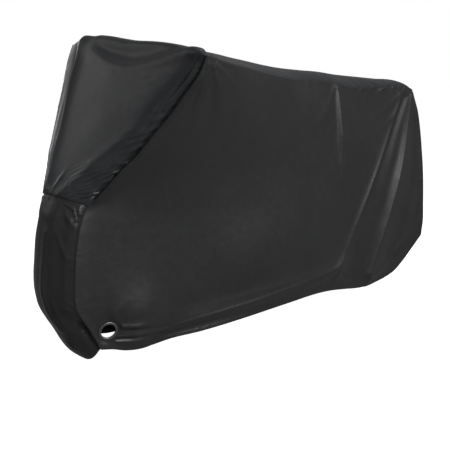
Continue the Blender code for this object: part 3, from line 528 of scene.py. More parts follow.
def tautness(grid):
    """How far the taut cloth lies from the plain blend, along Y: each point is the mean of its neighbours."""
    rows, columns = grid.shape[:2]
    number = np.arange(rows * columns).reshape(rows, columns)
    system = np.eye(rows * columns)
    known = grid[:, :, 1].reshape(-1).copy()
    flat = grid[:, :, (0, 2)].reshape(-1, 2)
    for i in range(1, rows - 1):
        for j in range(1, columns - 1):
            here = number[i, j]
            near = number[(i - 1, i + 1, i, i), (j, j, j - 1, j + 1)]
            pull = 1 / np.linalg.norm(flat[near] - flat[here], axis=1)
            system[here, near] = -pull / pull.sum()
            known[here] = 0.0
    return np.linalg.solve(system, known).reshape(rows, columns) - grid[:, :, 1]


def relaxed(grid, passes):
    """The grid with each inner point drawn along Y to the mean of its neighbours, the nearer ones most."""
    flat = grid[:, :, (0, 2)]
    down = 1 / np.linalg.norm(np.diff(flat, axis=0), axis=2)[:, 1:-1]
    back = 1 / np.linalg.norm(np.diff(flat, axis=1), axis=2)[1:-1]
    pulls = (down[:-1], down[1:], back[:, :-1], back[:, 1:])
    total = sum(pulls)
    pulls = [pull / total for pull in pulls]
    y = grid[:, :, 1]
    for _ in range(passes):
        around = (y[:-2, 1:-1], y[2:, 1:-1], y[1:-1, :-2], y[1:-1, 2:])
        y[1:-1, 1:-1] = sum(pull * there for pull, there in zip(pulls, around))
    return grid


def grid_normals(grid):
    """The unit normal at each point of a grid, along rows crossed with along columns."""
    normals = np.cross(np.gradient(grid, axis=0), np.gradient(grid, axis=1))
    return normals / np.linalg.norm(normals, axis=2, keepdims=True)


# ---------------------------------------------------------------------------------------------------------
# Folds, puckers and unevenness


def fold_height(fold, first, second):
    """How far a fold lifts the points whose two lengths are first and second."""
    line = smooth_through((0.0, 0.5, 1.0), (fold.a, fold.b, fold.c), np.linspace(0, 1, FOLD_POINTS))
    reach = (ROUND_REACH if fold.soft > 1 else SHARP_REACH) * max(fold.wide) * (1 + abs(fold.lean))
    low, high = line.min(axis=0) - reach, line.max(axis=0) + reach
    near = (first > low[0]) & (first < high[0]) & (second > low[1]) & (second < high[1])
    height = np.zeros(first.shape)
    if not near.any():
        return height
    points = np.stack([first[near], second[near]], axis=-1)
    start, step = line[:-1], np.diff(line, axis=0)
    away = points[:, None, :] - start
    share = np.clip((away * step).sum(axis=2) / (step**2).sum(axis=1), 0, 1)
    off = away - share[..., None] * step
    gaps = np.linalg.norm(off, axis=2)
    nearest = gaps.argmin(axis=1)
    pick = np.arange(len(points))
    s = (nearest + share[pick, nearest]) / len(step)
    gap, off, step = gaps[pick, nearest], off[pick, nearest], step[nearest]
    side = np.sign(step[:, 0] * off[:, 1] - step[:, 1] * off[:, 0])
    wide = np.interp(s, (0, 1), fold.wide) * (1 + fold.lean * side)
    rise = np.interp(s, (0, 0.5, 1), fold.rise)
    if fold.soft > 1:
        height[near] = rise * np.exp(-((gap / wide) ** 2))
    else:
        round_top = wide * fold.soft
        height[near] = rise * np.exp(-(np.hypot(gap, round_top) - round_top) * SHARP_FALL / wide)
    return height


def folds_height(folds, first, second):
    return sum((fold_height(fold, first, second) for fold in folds), np.zeros(first.shape))


def waves(count, seed):
    """Directions, paces and starts of a set of waves, the same each run."""
    rng = np.random.default_rng(seed)
    headings = rng.uniform(0, 2 * math.pi, count)
    paces = rng.uniform(0.6, 1.5, count)
    return headings, paces, rng.uniform(0, 2 * math.pi, count)


def uneven(first, second, pitch, seed):
    """Smooth unevenness over a surface, about one high, with waves about pitch long."""
    total = np.zeros(np.shape(first))
    count = 10
    for heading, pace, start in zip(*waves(count, seed)):
        along = first * math.cos(heading) + second * math.sin(heading)
        total += np.sin(2 * math.pi * pace * along / pitch + start)
    return total / math.sqrt(count)


def pucker_height(puckers, along, off):
    """Puckers beside a seam, from the length along it and the distance from it.

    The place, the reach and the strength of the waves each wander, over a few pitches.
    """
    height = np.zeros(along.shape)
    for row in puckers:
        shift = PUCKER_WANDER * uneven(along, off, 3.4 * row.pitch, row.seed)
        reach = row.long * (1 + 0.45 * uneven(along, 0 * along, 3.1 * row.pitch, row.seed + 1))
        strength = np.clip(0.45 + 0.75 * uneven(along, off, 4.1 * row.pitch, row.seed + 2), 0, 1.6)
        phase = 2 * math.pi * (along + row.slant * off) / row.pitch + shift
        wave = np.cos(phase) + 0.3 * np.cos(2 * phase + 0.6)
        starts = np.clip((along - row.start) / (2 * row.pitch), 0, 1)
        ends = np.clip((row.end - along) / (2 * row.pitch), 0, 1)
        near = np.exp(-off / np.maximum(reach, 0.2 * row.long)) * (1 - np.exp(-((off / PUCKER_BARE) ** 2)))
        height += row.high * strength * wave * near * starts * ends
    return height


def again(puckers, seed):
    """The same puckers with another irregularity."""
    return [row._replace(seed=row.seed + seed) for row in puckers]


def fade(off, reach):
    """Nought at a seam and one from reach away."""
    t = np.clip(off / reach, 0, 1)
    return t * t * (3 - 2 * t)


def between(value, low, high, soft):
    """One between low and high, nought outside them, with soft ends."""
    return fade(value - low + soft / 2, soft) * fade(high + soft / 2 - value, soft)


def rim_height(rim, off, along):
    """A swelling beside a seam: nought at it, highest at its reach and gone some way beyond."""
    swelling = off / rim.reach * np.exp(1 - off / rim.reach)
    return rim.high * swelling * between(along, rim.start, rim.end, rim.soft)


def rumple_height(rumple, first, second, seam, other=0):
    return rumple.high * uneven(first, second, rumple.pitch, rumple.seed + other) * fade(seam, rumple.clear)


def hem_height(hem_off):
    """The hem's third layer stands a little proud, with a groove along its stitching."""
    groove = np.exp(-(((hem_off - HEM_GROOVE_IN) / HEM_GROOVE_HALF) ** 2))
    return HEM_PROUD * (1 - fade(hem_off - HEM_WIDTH, HEM_FADE)) - HEM_GROOVE * groove


def from_first(grid, axis):
    """The distance of each point from the grid's first row or column, along its lines."""
    steps = np.linalg.norm(np.diff(grid, axis=axis), axis=2)
    start = np.zeros((1, grid.shape[1]) if axis == 0 else (grid.shape[0], 1))
    return np.concatenate([start, np.cumsum(steps, axis=axis)], axis=axis)


def from_last(grid, axis):
    return np.flip(from_first(np.flip(grid, axis=axis), axis), axis=axis)


# ---------------------------------------------------------------------------------------------------------
# The panels

Panel = namedtuple("Panel", "grid seam_off hem_off cloth_u cloth_v")


def rounded_over(grid, row, passes):
    """Softens the turn at a row, more in the middle than at the seams."""
    t = np.linspace(-1, 1, grid.shape[1])
    share = np.clip((1 - np.abs(t)) * TURN_FADE, 0, 1)[None, :, None]
    span = slice(row - TURN_ROWS, row + TURN_ROWS)
    for _ in range(passes):
        middle = grid[span]
        before, after = grid[span.start - 1 : span.stop - 1], grid[span.start + 1 : span.stop + 1]
        smooth = (before + 2 * middle + after) / 4
        grid[span] = middle + share * (smooth - middle)
    return grid


def packed_fractions():
    """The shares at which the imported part's rows and columns stand: hood, gusset and side panel."""
    hood = 1 - np.linspace(1, 0, HOOD_STEPS + 1) ** HOOD_CLOSING
    high = np.linspace(0, LOW_ZONE, GUSSET_STEPS - LOW_STEPS + 1)
    gusset = np.concatenate([high, np.linspace(LOW_ZONE, 1, LOW_STEPS + 1)[1:]])
    front = np.linspace(0, FRONT_ZONE, FRONT_COLUMNS + 1)
    middle = np.linspace(FRONT_ZONE, REAR_ZONE, MIDDLE_COLUMNS + 1)
    rear = np.linspace(REAR_ZONE, 1, REAR_COLUMNS + 1)
    return hood, gusset, np.concatenate([front, middle[1:], rear[1:]])


def hem_line(side, fractions, first, last):
    hem = np.array([(row.x, side * row.half, row.z) for row in HEM])
    hem[0], hem[-1] = first, last
    along = distances(hem)
    return smooth_through(along, hem, fractions * along[-1])


def away_from_ends(fine, coarse, clear):
    """Nought at a line's ends and one from some packed steps inside them, at fine shares of its length."""
    number = np.interp(fine, coarse, np.arange(len(coarse)))
    return np.minimum(np.minimum(number, number[-1] - number) / clear, 1)


def side_edges(side, hood_shares, gusset_shares, long_shares):
    """A side panel's front, top, tail and hem at shares of their lengths, with the left side's rows."""
    edge = 0 if side < 0 else -1
    ends = np.array((-1.0, 1.0))
    hood = strip_grid(HOOD, hood_shares, ends)[::-1]
    fronts = np.concatenate([hood, strip_grid(GUSSET, gusset_shares, ends)[1:]])
    top = strip_grid(TOP, long_shares, ends)[:, edge]
    tail = strip_grid(TAIL, shares_of(fronts[:, 0]), ends)[:, edge]
    front = fronts[:, edge]
    return front, top, tail, hem_line(side, long_shares, front[-1], tail[-1])


def taut_side(side):
    """The taut side panel, side -1 for the left and 1 for the right, with its swells."""
    hood_shares, gusset_shares, coarse_columns = packed_fractions()
    coarse = side_edges(side, hood_shares, gusset_shares, coarse_columns)
    sag = tautness(between_edges(*coarse))
    fine_columns = eased(SIDE_LONG)
    fine = side_edges(side, eased(SIDE_HOOD), eased(SIDE_GUSSET), fine_columns)
    grid = between_edges(*fine)
    coarse_rows, fine_rows = shares_of(coarse[0]), shares_of(fine[0])
    by_rows = smooth_through(coarse_rows, sag, fine_rows)
    grid[:, :, 1] += smooth_through(coarse_columns, by_rows.T, fine_columns).T
    grid = relaxed(grid, RELAXING)

    inner_rows = away_from_ends(fine_rows, coarse_rows, SWELL_CLEAR_ROWS)
    inner = inner_rows[:, None] * away_from_ends(fine_columns, coarse_columns, SWELL_CLEAR_COLUMNS)
    for swell in SWELLS:
        off_x = (grid[:, :, 0] - swell.x) / swell.wide
        off_z = (grid[:, :, 2] - swell.z) / swell.high
        grid[:, :, 1] += side * swell.out * inner * np.exp(-(off_x**2) - off_z**2)
    return grid


def columns_of(line, grid):
    """A value for each row, repeated over the grid's columns."""
    return np.broadcast_to(line[:, None], grid.shape[:2])


def rows_of(line, grid):
    """A value for each column, repeated over the grid's rows."""
    return np.broadcast_to(line[None], grid.shape[:2])


@functools.lru_cache(maxsize=None)
def centre_panel():
    across = 2 * eased(STRIP_ACROSS) - 1
    hood = strip_grid(HOOD, eased(STRIP_HOOD), across)
    top = strip_grid(TOP, eased(STRIP_TOP), across)
    tail = strip_grid(TAIL, eased(STRIP_TAIL), across)
    grid = np.concatenate([hood, top[1:], tail[1:]])
    grid = rounded_over(grid, STRIP_HOOD, HOOD_TURN_PASSES)
    grid = rounded_over(grid, STRIP_HOOD + STRIP_TOP, TAIL_TURN_PASSES)
    along = columns_of(distances(grid[:, STRIP_ACROSS // 2]), grid)
    edge_along = columns_of(distances(grid[:, 0]), grid)
    hood_end = distances(grid[:, 0])[STRIP_HOOD]
    top_along = edge_along - hood_end
    tail_along = edge_along - distances(grid[:, 0])[STRIP_HOOD + STRIP_TOP]
    y = grid[:, :, 1]
    near, far = from_first(grid, 1), from_last(grid, 1)
    seam, gather, hem_off = np.minimum(near, far), from_first(grid, 0), from_last(grid, 0)
    clear = fade(seam, STRIP_FOLD_CLEAR)
    height = folds_height(STRIP_FOLDS, y, along) * clear * fade(gather, GATHER_FOLD_CLEAR)
    clear = fade(seam, STRIP_CREASE_CLEAR)
    height += folds_height(HOOD_CREASES, y, along) * clear * fade(gather, GATHER_CREASE_CLEAR)
    height += rim_height(NEAR_HOOD_RIM._replace(end=hood_end - HOOD_RIM_STOP), near, edge_along)
    height += rim_height(FAR_HOOD_RIM._replace(end=hood_end - HOOD_RIM_STOP), far, edge_along)
    height += rim_height(STRIP_RIM, seam, top_along)
    on_hood = between(edge_along, -math.inf, hood_end, HOOD_END_SOFT)
    height += pucker_height(HOOD_SEAM_PUCKERS, edge_along, near) * on_hood
    height += pucker_height(FAR_SEAM_PUCKERS, edge_along, far) * on_hood
    for off, seed in ((near, 0), (far, OTHER_SEAM)):
        height += pucker_height(again(TOP_SEAM_PUCKERS, seed), top_along, off)
        height += pucker_height(again(TAIL_SEAM_PUCKERS, seed), tail_along, off)
    across = rows_of(distances(grid[0]), grid)
    height += pucker_height(GATHER_PUCKERS, across, gather) * fade(seam, CORNER_CLEAR)
    height += rumple_height(STRIP_RUMPLE, y, along, seam)
    height += hem_height(hem_off)
    grid = grid + height[:, :, None] * grid_normals(grid)
    return Panel(grid, np.minimum(seam, gather), hem_off, y, along)


@functools.lru_cache(maxsize=None)
def front_gusset():
    grid = strip_grid(GUSSET, eased(GUSSET_DOWN), 2 * eased(GUSSET_ACROSS) - 1)
    along = columns_of(distances(grid[:, GUSSET_ACROSS // 2]), grid)
    edge_along = columns_of(distances(grid[:, 0]), grid)
    across = rows_of(distances(grid[0]), grid)
    y = grid[:, :, 1]
    near, far = from_first(grid, 1), from_last(grid, 1)
    seam, gather, hem_off = np.minimum(near, far), from_first(grid, 0), from_last(grid, 0)
    clear = fade(seam, GUSSET_FOLD_CLEAR)
    height = folds_height(GUSSET_FOLDS, y, along) * clear * fade(gather, GATHER_FOLD_CLEAR)
    clear = fade(seam, GUSSET_CREASE_CLEAR)
    height += folds_height(GUSSET_CREASES, y, along) * clear * fade(gather, GATHER_CREASE_CLEAR)
    height += rim_height(GUSSET_NEAR_DENT, near, edge_along)
    height += rim_height(GUSSET_FAR_DENT, far, edge_along)
    height += rim_height(GUSSET_RIM, seam, edge_along)
    height += pucker_height(GUSSET_SEAM_PUCKERS, edge_along, near)
    height += pucker_height(again(GUSSET_SEAM_PUCKERS, OTHER_SEAM), edge_along, far)
    height += pucker_height(GATHER_PUCKERS, across, gather) * fade(seam, CORNER_CLEAR)
    height += pucker_height(HEM_PUCKERS, across, hem_off) * fade(seam, CORNER_CLEAR)
    height += rumple_height(GUSSET_RUMPLE, y, along, seam)
    height += hem_height(hem_off)
    grid = grid - height[:, :, None] * grid_normals(grid)
    return Panel(grid, np.minimum(seam, gather), hem_off, y, along)


@functools.lru_cache(maxsize=None)
def side_panel(side):
    grid = taut_side(side)
    x, z = grid[:, :, 0].copy(), grid[:, :, 2].copy()
    front, tail = from_first(grid, 1), from_last(grid, 1)
    top, hem_off = from_first(grid, 0), from_last(grid, 0)
    seam = np.minimum(np.minimum(front, tail), top)
    down = distances(grid[:, 0])
    below = columns_of(down - down[SIDE_HOOD], grid)
    back, hem_back = rows_of(distances(grid[0]), grid), rows_of(distances(grid[-1]), grid)
    tail_down = columns_of(distances(grid[:, -1]), grid)
    folds, creases = (LEFT_FOLDS, LEFT_CREASES) if side < 0 else (RIGHT_FOLDS, RIGHT_CREASES)
    quiet = HEM_QUIET + (1 - HEM_QUIET) * fade(hem_off, HEM_QUIET_REACH)
    height = folds_height(folds, x, z) * fade(seam, SIDE_FOLD_CLEAR) * quiet
    height += folds_height(creases, x, z) * fade(seam, SIDE_CREASE_CLEAR) * quiet
    height += rim_height(LEFT_HOOD_RIM if side < 0 else RIGHT_HOOD_RIM, front, below)
    height += rim_height(SIDE_GUSSET_RIM, front, below)
    height += rim_height(SIDE_TOP_RIM, top, back)
    height += rim_height(SIDE_TAIL_RIM, tail, tail_down)
    seed = 0 if side < 0 else OTHER_SIDE
    height += pucker_height(again(TOP_SEAM_PUCKERS, seed), back, top)
    height += pucker_height(again(TAIL_SEAM_PUCKERS, seed), tail_down, tail)
    height += pucker_height(again(FRONT_SEAM_PUCKERS, seed), below, front)
    height += pucker_height(again(HEM_PUCKERS, seed), hem_back, hem_off)
    height += rumple_height(SIDE_RUMPLE, x, z, seam, seed)
    height += hem_height(hem_off)
    grid = grid - (side * height)[:, :, None] * grid_normals(grid)
    return Panel(seated(grid, side), seam, hem_off, x, z)


# ---------------------------------------------------------------------------------------------------------
# Closing a panel into a sheet


def edges_of(values):
    """The four edges of a grid of values."""
    return values[0], values[-1], values[:, 0], values[:, -1]


# What makes each panel, and which side of its grid is its outer face
Cut = namedtuple("Cut", "make outward")
PANELS = {
    "centre_panel": Cut(centre_panel, 1),
    "front_gusset": Cut(front_gusset, -1),
    "side_panel_left": Cut(functools.partial(side_panel, -1), 1),
    "side_panel_right": Cut(functools.partial(side_panel, 1), -1),
}


@functools.lru_cache(maxsize=None)
def own_normals(name):
    return grid_normals(PANELS[name].make().grid) * PANELS[name].outward


def read_line(line, values, points):
    """The values at the places of a line nearest to some points, and how far those lie from it."""
    start, step = line[:-1], np.diff(line, axis=0)
    away = points[:, None] - start
    share = np.clip((away * step).sum(axis=2) / (step**2).sum(axis=1), 0, 1)
    gaps = np.linalg.norm(away - share[:, :, None] * step, axis=2)
    k = gaps.argmin(axis=1)
    pick = np.arange(len(points))
    t = share[pick, k][:, None]
    return (1 - t) * values[k] + t * values[k + 1], gaps[pick, k]


def shared_normals(name, points, own):
    """The normals along a panel's edge, averaged with those of the panels that it is sewn to."""
    total = own.copy()
    for other in PANELS:
        if other == name:
            continue
        for line, values in zip(edges_of(PANELS[other].make().grid), edges_of(own_normals(other))):
            theirs, gaps = read_line(line, values, points)
            total += np.exp(-((gaps / SEAM_MEETS) ** 2))[:, None] * theirs
    return total / np.linalg.norm(total, axis=1, keepdims=True)


@functools.lru_cache(maxsize=None)
def finished(name):
    """A panel's outer points, with its seams' grooves, and its outward normals."""
    panel = PANELS[name].make()
    normals = own_normals(name).copy()
    for place in (np.s_[0], np.s_[-1], np.s_[:, 0], np.s_[:, -1]):
        normals[place] = shared_normals(name, panel.grid[place], own_normals(name)[place])
    dip = SEAM_DIP * np.exp(-((panel.seam_off / SEAM_REACH) ** 2))
    return panel.grid - dip[:, :, None] * normals, normals


def thickness(panel, cloth):
    """The sheet's thickness: doubled behind the seams and three layers at the hem."""
    allowance = np.exp(-((panel.seam_off / ALLOWANCE) ** 6))
    hem = np.exp(-((panel.hem_off / HEM_WIDTH) ** 8))
    return cloth * (1 + ALLOWANCE_LAYERS * allowance + HEM_LAYERS * hem * (1 - allowance))


def quads(rows, columns, flip, leave_out=None):
    """The faces of a grid of points, apart from a block: first row, first column, last row, last column."""
    i, j = np.meshgrid(np.arange(rows - 1), np.arange(columns - 1), indexing="ij")
    keep = np.ones(i.shape, bool)
    if leave_out:
        keep[leave_out[0] : leave_out[2], leave_out[1] : leave_out[3]] = False
    i, j = i[keep], j[keep]
    here = i * columns + j
    faces = np.stack([here, here + columns, here + columns + 1, here + 1], axis=1)
    return faces[:, ::-1] if flip else faces


def lining(rows, columns, flip, leave_out=None):
    """The inner face of a grid, with cells twice as large that keep all the points along its edges."""
    keep = np.zeros(((rows + 1) // 2 + 1, (columns + 1) // 2 + 1), bool)
    keep[1:-1, 1:-1] = True
    if leave_out:
        a, b, c, d = (n // 2 for n in leave_out)
        keep[a + 1 : c + 1, b + 1 : d + 1] = False
    faces = []
    for i in range(0, rows - 1, 2):
        for j in range(0, columns - 1, 2):
            m, n = i // 2 + 1, j // 2 + 1
            if not keep[m, n]:
                continue
            here = i * columns + j
            face = [here]
            if not keep[m, n - 1]:
                face.append(here + columns)
            face.append(here + 2 * columns)
            if not keep[m + 1, n]:
                face.append(here + 2 * columns + 1)
            face.append(here + 2 * columns + 2)
            if not keep[m, n + 1]:
                face.append(here + columns + 2)
            face.append(here + 2)
            if not keep[m - 1, n]:
                face.append(here + 1)
            faces.append(face if flip else face[::-1])
    return faces


def rim_edges(faces, count):
    """The edges that one face alone has, as it runs along them."""
    edges = np.concatenate([faces[:, (k, (k + 1) % 4)] for k in range(4)]).astype(np.int64)
    there = edges[:, 0] * count + edges[:, 1]
    back = edges[:, 1] * count + edges[:, 0]
    return edges[~np.isin(there, back)]


def sheet_object(name, outer, normals, thick, faces, inner_faces, cloth_uv, material):
    """A closed thin sheet: its outer face, its lining and its rim."""
    count = len(outer)
    rim = rim_edges(faces, count)
    sides = np.stack([rim[:, 1], rim[:, 0], rim[:, 0] + count, rim[:, 1] + count], axis=1)
    all_faces = faces.tolist() + [[k + count for k in face] for face in inner_faces] + sides.tolist()
    points = np.concatenate([outer, outer - thick[:, None] * normals]) - HANG
    used = np.unique([k for face in all_faces for k in face])
    fresh = np.zeros(2 * count, int)
    fresh[used] = np.arange(len(used))
    fresh = fresh.tolist()
    mesh = bpy.data.meshes.new(name)
    mesh.from_pydata(points[used].tolist(), [], [[fresh[k] for k in face] for face in all_faces])
    mesh.shade_smooth()
    mesh.set_sharp_from_angle(angle=SHARP_ANGLE)
    corners = np.empty(len(mesh.loops), np.int32)
    mesh.loops.foreach_get("vertex_index", corners)
    uv = mesh.uv_layers.new(name="cloth")
    both = np.concatenate([cloth_uv, cloth_uv])[used]
    uv.data.foreach_set("uv", both[corners].astype(np.float32).reshape(-1))
    return finished_object(name, mesh, material)


def finished_object(name, mesh, material):
    mesh.materials.append(material)
    obj = bpy.data.objects.new(name, mesh)
    bpy.context.scene.collection.objects.link(obj)
    return obj


def panel_object(name, material, cloth, leave_out=None):
    panel = PANELS[name].make()
    outer, normals = finished(name)
    rows, columns = outer.shape[:2]
    flip = PANELS[name].outward < 0
    faces = quads(rows, columns, flip, leave_out)
    inner = lining(rows, columns, flip, leave_out)
    uv = np.stack([panel.cloth_u, panel.cloth_v], axis=2).reshape(-1, 2)
    thick = thickness(panel, cloth).reshape(-1)
    outer, normals = outer.reshape(-1, 3), normals.reshape(-1, 3)
    return sheet_object(name, outer, normals, thick, faces, inner, uv, material)


def dress(obj, node):
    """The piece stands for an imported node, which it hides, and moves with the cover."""
    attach(obj, "root")
    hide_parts(node)


# ---------------------------------------------------------------------------------------------------------
# Eyelets

Seat = namedtuple("Seat", "centre normal")


@functools.lru_cache(maxsize=None)
def eyelet_seat(side):
    """Where a packed ring sits: its hole's middle on the cloth's outer face, and its outward normal."""
    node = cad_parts[f"eyelet_ring_{side_name(side)}"]
    points = np.array([tuple(vertex.co) for vertex in node.data.vertices]) + HANG
    points = np.unique(np.round(points, 6), axis=0)
    middle = points.mean(axis=0)
    normal = np.linalg.svd(points - middle)[2][2]
    normal = normal * np.sign(normal[1] * side)
    top = ((points - middle) @ normal).max()
    return Seat(middle + normal * (top - SEAM_GAP - RING_FLANGE), normal)


def seated(grid, side):
    """The cloth drawn flat under an eyelet's ring, and free of it further out."""
    seat = eyelet_seat(side)
    off = grid - seat.centre
    above = off @ seat.normal
    gap = np.linalg.norm(off - above[:, :, None] * seat.normal, axis=2)
    share = 1 - fade(gap - EYELET_FLAT, EYELET_FREE - EYELET_FLAT)
    return grid - (share * above)[:, :, None] * seat.normal


def read_grid(grid, at):
    """A grid's values at places given as fractional rows and columns."""
    low = np.minimum(np.floor(at).astype(int), np.array(grid.shape[:2]) - 2)
    i, j = low[:, 0], low[:, 1]
    a, b = (at - low).T[:, :, None]
    near = (1 - b) * grid[i, j] + b * grid[i, j + 1]
    far = (1 - b) * grid[i + 1, j] + b * grid[i + 1, j + 1]
    return (1 - a) * near + a * far


def find_on_grid(grid, places):
    """The fractional rows and columns where a grid passes through places given by X and Z."""
    flat = grid[:, :, (0, 2)]
    away = np.linalg.norm(flat[None] - places[:, None, None], axis=3).reshape(len(places), -1)
    at = np.stack(np.unravel_index(away.argmin(axis=1), flat.shape[:2]), axis=1).astype(float)
    down, back = np.gradient(flat, axis=0), np.gradient(flat, axis=1)
    for _ in range(SEARCH_PASSES):
        miss = places - read_grid(flat, at)
        slopes = np.stack([read_grid(down, at), read_grid(back, at)], axis=2)
        step = np.linalg.solve(slopes, miss[:, :, None])[:, :, 0]
        step = np.clip(step, -SEARCH_STEP, SEARCH_STEP)
        at = np.clip(at + step, 0, np.array(flat.shape[:2]) - 1.001)
    return at


def patch_block(side):
    """The first row and column, and the last, of the fine cells that an eyelet patch takes."""
    low, high = (np.array(corner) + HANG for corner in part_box(f"eyelet_patch_{side_name(side)}"))
    middle = (low + high) / 2
    ends = ((middle[0], high[2]), (low[0], middle[2]), (middle[0], low[2]), (high[0], middle[2]))
    at = find_on_grid(side_panel(side).grid, np.array(ends))
    return tuple(2 * round(at[k, k % 2] / 2) for k in range(4))


def side_name(side):
    return "left" if side < 0 else "right"


def run_beside(grid, axis, last, inset):
    """Fractional rows and columns of the line that keeps a distance from a grid's edge along an axis."""
    off = from_last(grid, axis) if last else from_first(grid, axis)
    off = off if axis == 0 else off.T
    off = off[::-1] if last else off
    beyond = (off >= inset).argmax(axis=0)
    lines = np.arange(off.shape[1])
    before, after = off[beyond - 1, lines], off[beyond, lines]
    place = beyond - 1 + (inset - before) / (after - before)
    place = off.shape[0] - 1 - place if last else place
    return np.stack([place, lines] if axis == 0 else [lines, place], axis=1)


def read_along(values, along, at):
    """Values given along a line, read at other places along it."""
    return np.stack([np.interp(at, along, row) for row in values.T], axis=1)


def unit(vectors):
    return vectors / np.linalg.norm(vectors, axis=-1, keepdims=True)


def stitches_along(outer, normals, run):
    """The corners of the stitches on one run: eight for each, lying on the cloth."""
    points, outward = read_grid(outer, run), read_grid(normals, run)
    along = distances(points)
    starts = np.arange(STITCH_PITCH, along[-1] - 2 * STITCH_PITCH, STITCH_PITCH)
    ends = [read_along(points, along, at) for at in (starts, starts + STITCH_LONG)]
    up = unit(read_along(outward, along, starts))
    across = np.cross(up, unit(ends[1] - ends[0])) * STITCH_WIDE / 2
    heights = (-STITCH_SUNK, STITCH_HIGH)
    corners = [end + side * across + height * up for height in heights for end in ends for side in (-1, 1)]
    return np.stack(corners, axis=1).reshape(-1, 3)


def stitching_object(name, material):
    """The thread that shows on a panel: a run beside each seam and one along the hem."""
    outer, normals = finished(name)
    runs = [
        run_beside(outer, 0, False, STITCH_IN),
        run_beside(outer, 0, True, HEM_STITCH_IN),
        run_beside(outer, 1, False, STITCH_IN),
        run_beside(outer, 1, True, STITCH_IN),
    ]
    points = np.concatenate([stitches_along(outer, normals, run) for run in runs]) - HANG
    box = np.array(((0, 2, 3, 1), (4, 5, 7, 6), (0, 1, 5, 4), (2, 6, 7, 3), (0, 4, 6, 2), (1, 3, 7, 5)))
    faces = (np.arange(len(points) // 8)[:, None, None] * 8 + box).reshape(-1, 4)
    mesh = bpy.data.meshes.new(name)
    mesh.from_pydata(points.tolist(), [], faces.tolist())
    return finished_object(f"{name}_stitching", mesh, material)


def patch_object(side, material, cloth):
    """The doubled cloth round an eyelet: loops of points from the block's edge in to the hole."""
    name = f"side_panel_{side_name(side)}"
    panel = PANELS[name].make()
    outer, normals = finished(name)
    first_row, first_column, last_row, last_column = patch_block(side)
    down = [(i, first_column) for i in range(first_row, last_row)]
    back = [(last_row, j) for j in range(first_column, last_column)]
    up = [(i, last_column) for i in range(last_row, first_row, -1)]
    forward = [(first_row, j) for j in range(last_column, first_column, -1)]
    edge = np.array(down + back + up + forward, float)
    seat = eyelet_seat(side)
    hole = RING_BORE + RING_BARREL + SEAM_GAP
    bearing = read_grid(outer, edge) - seat.centre
    bearing = unit(bearing - np.outer(bearing @ seat.normal, seat.normal))
    inner = find_on_grid(outer, (seat.centre + hole * bearing)[:, (0, 2)])
    shares = 1 - np.linspace(1, 0, PATCH_RINGS + 1) ** PATCH_CLOSING
    at = np.concatenate([edge * (1 - t) + inner * t for t in shares])
    count = len(edge)
    here = np.arange(count)
    there = (here + 1) % count
    loop = np.stack([here, there, there + count, here + count], axis=1)
    faces = np.concatenate([loop + k * count for k in range(PATCH_RINGS)])
    if side > 0:
        faces = faces[:, ::-1]
    points, turned = read_grid(outer, at), unit(read_grid(normals, at))
    uv = read_grid(np.stack([panel.cloth_u, panel.cloth_v], axis=2), at)
    thick = read_grid(thickness(panel, cloth)[:, :, None], at)[:, 0]
    nearness = np.concatenate([np.full(count, t) for t in shares])
    thick = thick + (2 * cloth - thick) * fade(nearness, PATCH_DOUBLED)
    name = f"eyelet_cloth_{side_name(side)}"
    return sheet_object(name, points, turned, thick, faces, faces[:, ::-1].tolist(), uv, material)


def ring_object(side, material):
    """A pressed ring: a rounded flange over the cloth, a barrel through it and a rolled edge behind."""
    half = (RING_RADIUS - RING_BORE) / 2
    roll = half * RING_ROLL_WIDE
    back = -PACKED_CLOTH - SEAM_GAP
    section = []
    for k in range(RING_CROWN_STEPS + 1):
        turn = math.pi * k / RING_CROWN_STEPS
        height = SEAM_GAP + RING_FLANGE * math.sin(turn) ** RING_CROWN_FULL
        section.append((RING_BORE + half + half * math.cos(turn), height))
    section.append((RING_BORE + RING_EASE, (back - RING_FLANGE) / 2))
    for k in range(RING_ROLL_STEPS + 1):
        turn = math.pi + math.pi * k / RING_ROLL_STEPS
        section.append((RING_BORE + roll + roll * math.cos(turn), back + RING_FLANGE * math.sin(turn)))
    section.append((RING_BORE + RING_BARREL, back))
    section.append((RING_BORE + RING_BARREL, SEAM_GAP))
    seat = eyelet_seat(side)
    across = unit(np.cross(seat.normal, (0.0, 0.0, 1.0)))
    upward = np.cross(seat.normal, across)
    turns = 2 * math.pi * np.arange(RING_SEGMENTS) / RING_SEGMENTS
    spokes = np.cos(turns)[:, None] * across + np.sin(turns)[:, None] * upward
    centre = seat.centre - HANG
    points = [
        centre + radius * spoke + height * seat.normal
        for spoke in spokes
        for radius, height in section
    ]
    count = len(section)
    faces = []
    for k in range(RING_SEGMENTS):
        here, there = k * count, (k + 1) % RING_SEGMENTS * count
        for m in range(count):
            after = (m + 1) % count
            faces.append((here + m, there + m, there + after, here + after))
    mesh = bpy.data.meshes.new("eyelet")
    mesh.from_pydata(np.array(points).tolist(), [], faces)
    shape = bmesh.new()
    shape.from_mesh(mesh)
    bmesh.ops.recalc_face_normals(shape, faces=shape.faces)
    shape.to_mesh(mesh)
    shape.free()
    mesh.shade_smooth()
    mesh.set_sharp_from_angle(angle=SHARP_ANGLE)
    return finished_object(f"eyelet_{side_name(side)}", mesh, material)


# ---------------------------------------------------------------------------------------------------------
# Finishes


def new_material(name):
    material = bpy.data.materials.new(name)
    material.use_nodes = True
    tree = material.node_tree
    return material, tree, tree.nodes["Principled BSDF"]


def linked(tree, kind, **inputs):
    """A new node with its inputs set from values or linked from other nodes' sockets."""
    node = tree.nodes.new(kind)
    for name, value in inputs.items():
        socket = node.inputs[name.replace("_", " ")]
        if isinstance(value, bpy.types.NodeSocket):
            tree.links.new(value, socket)
        else:
            socket.default_value = value
    return node


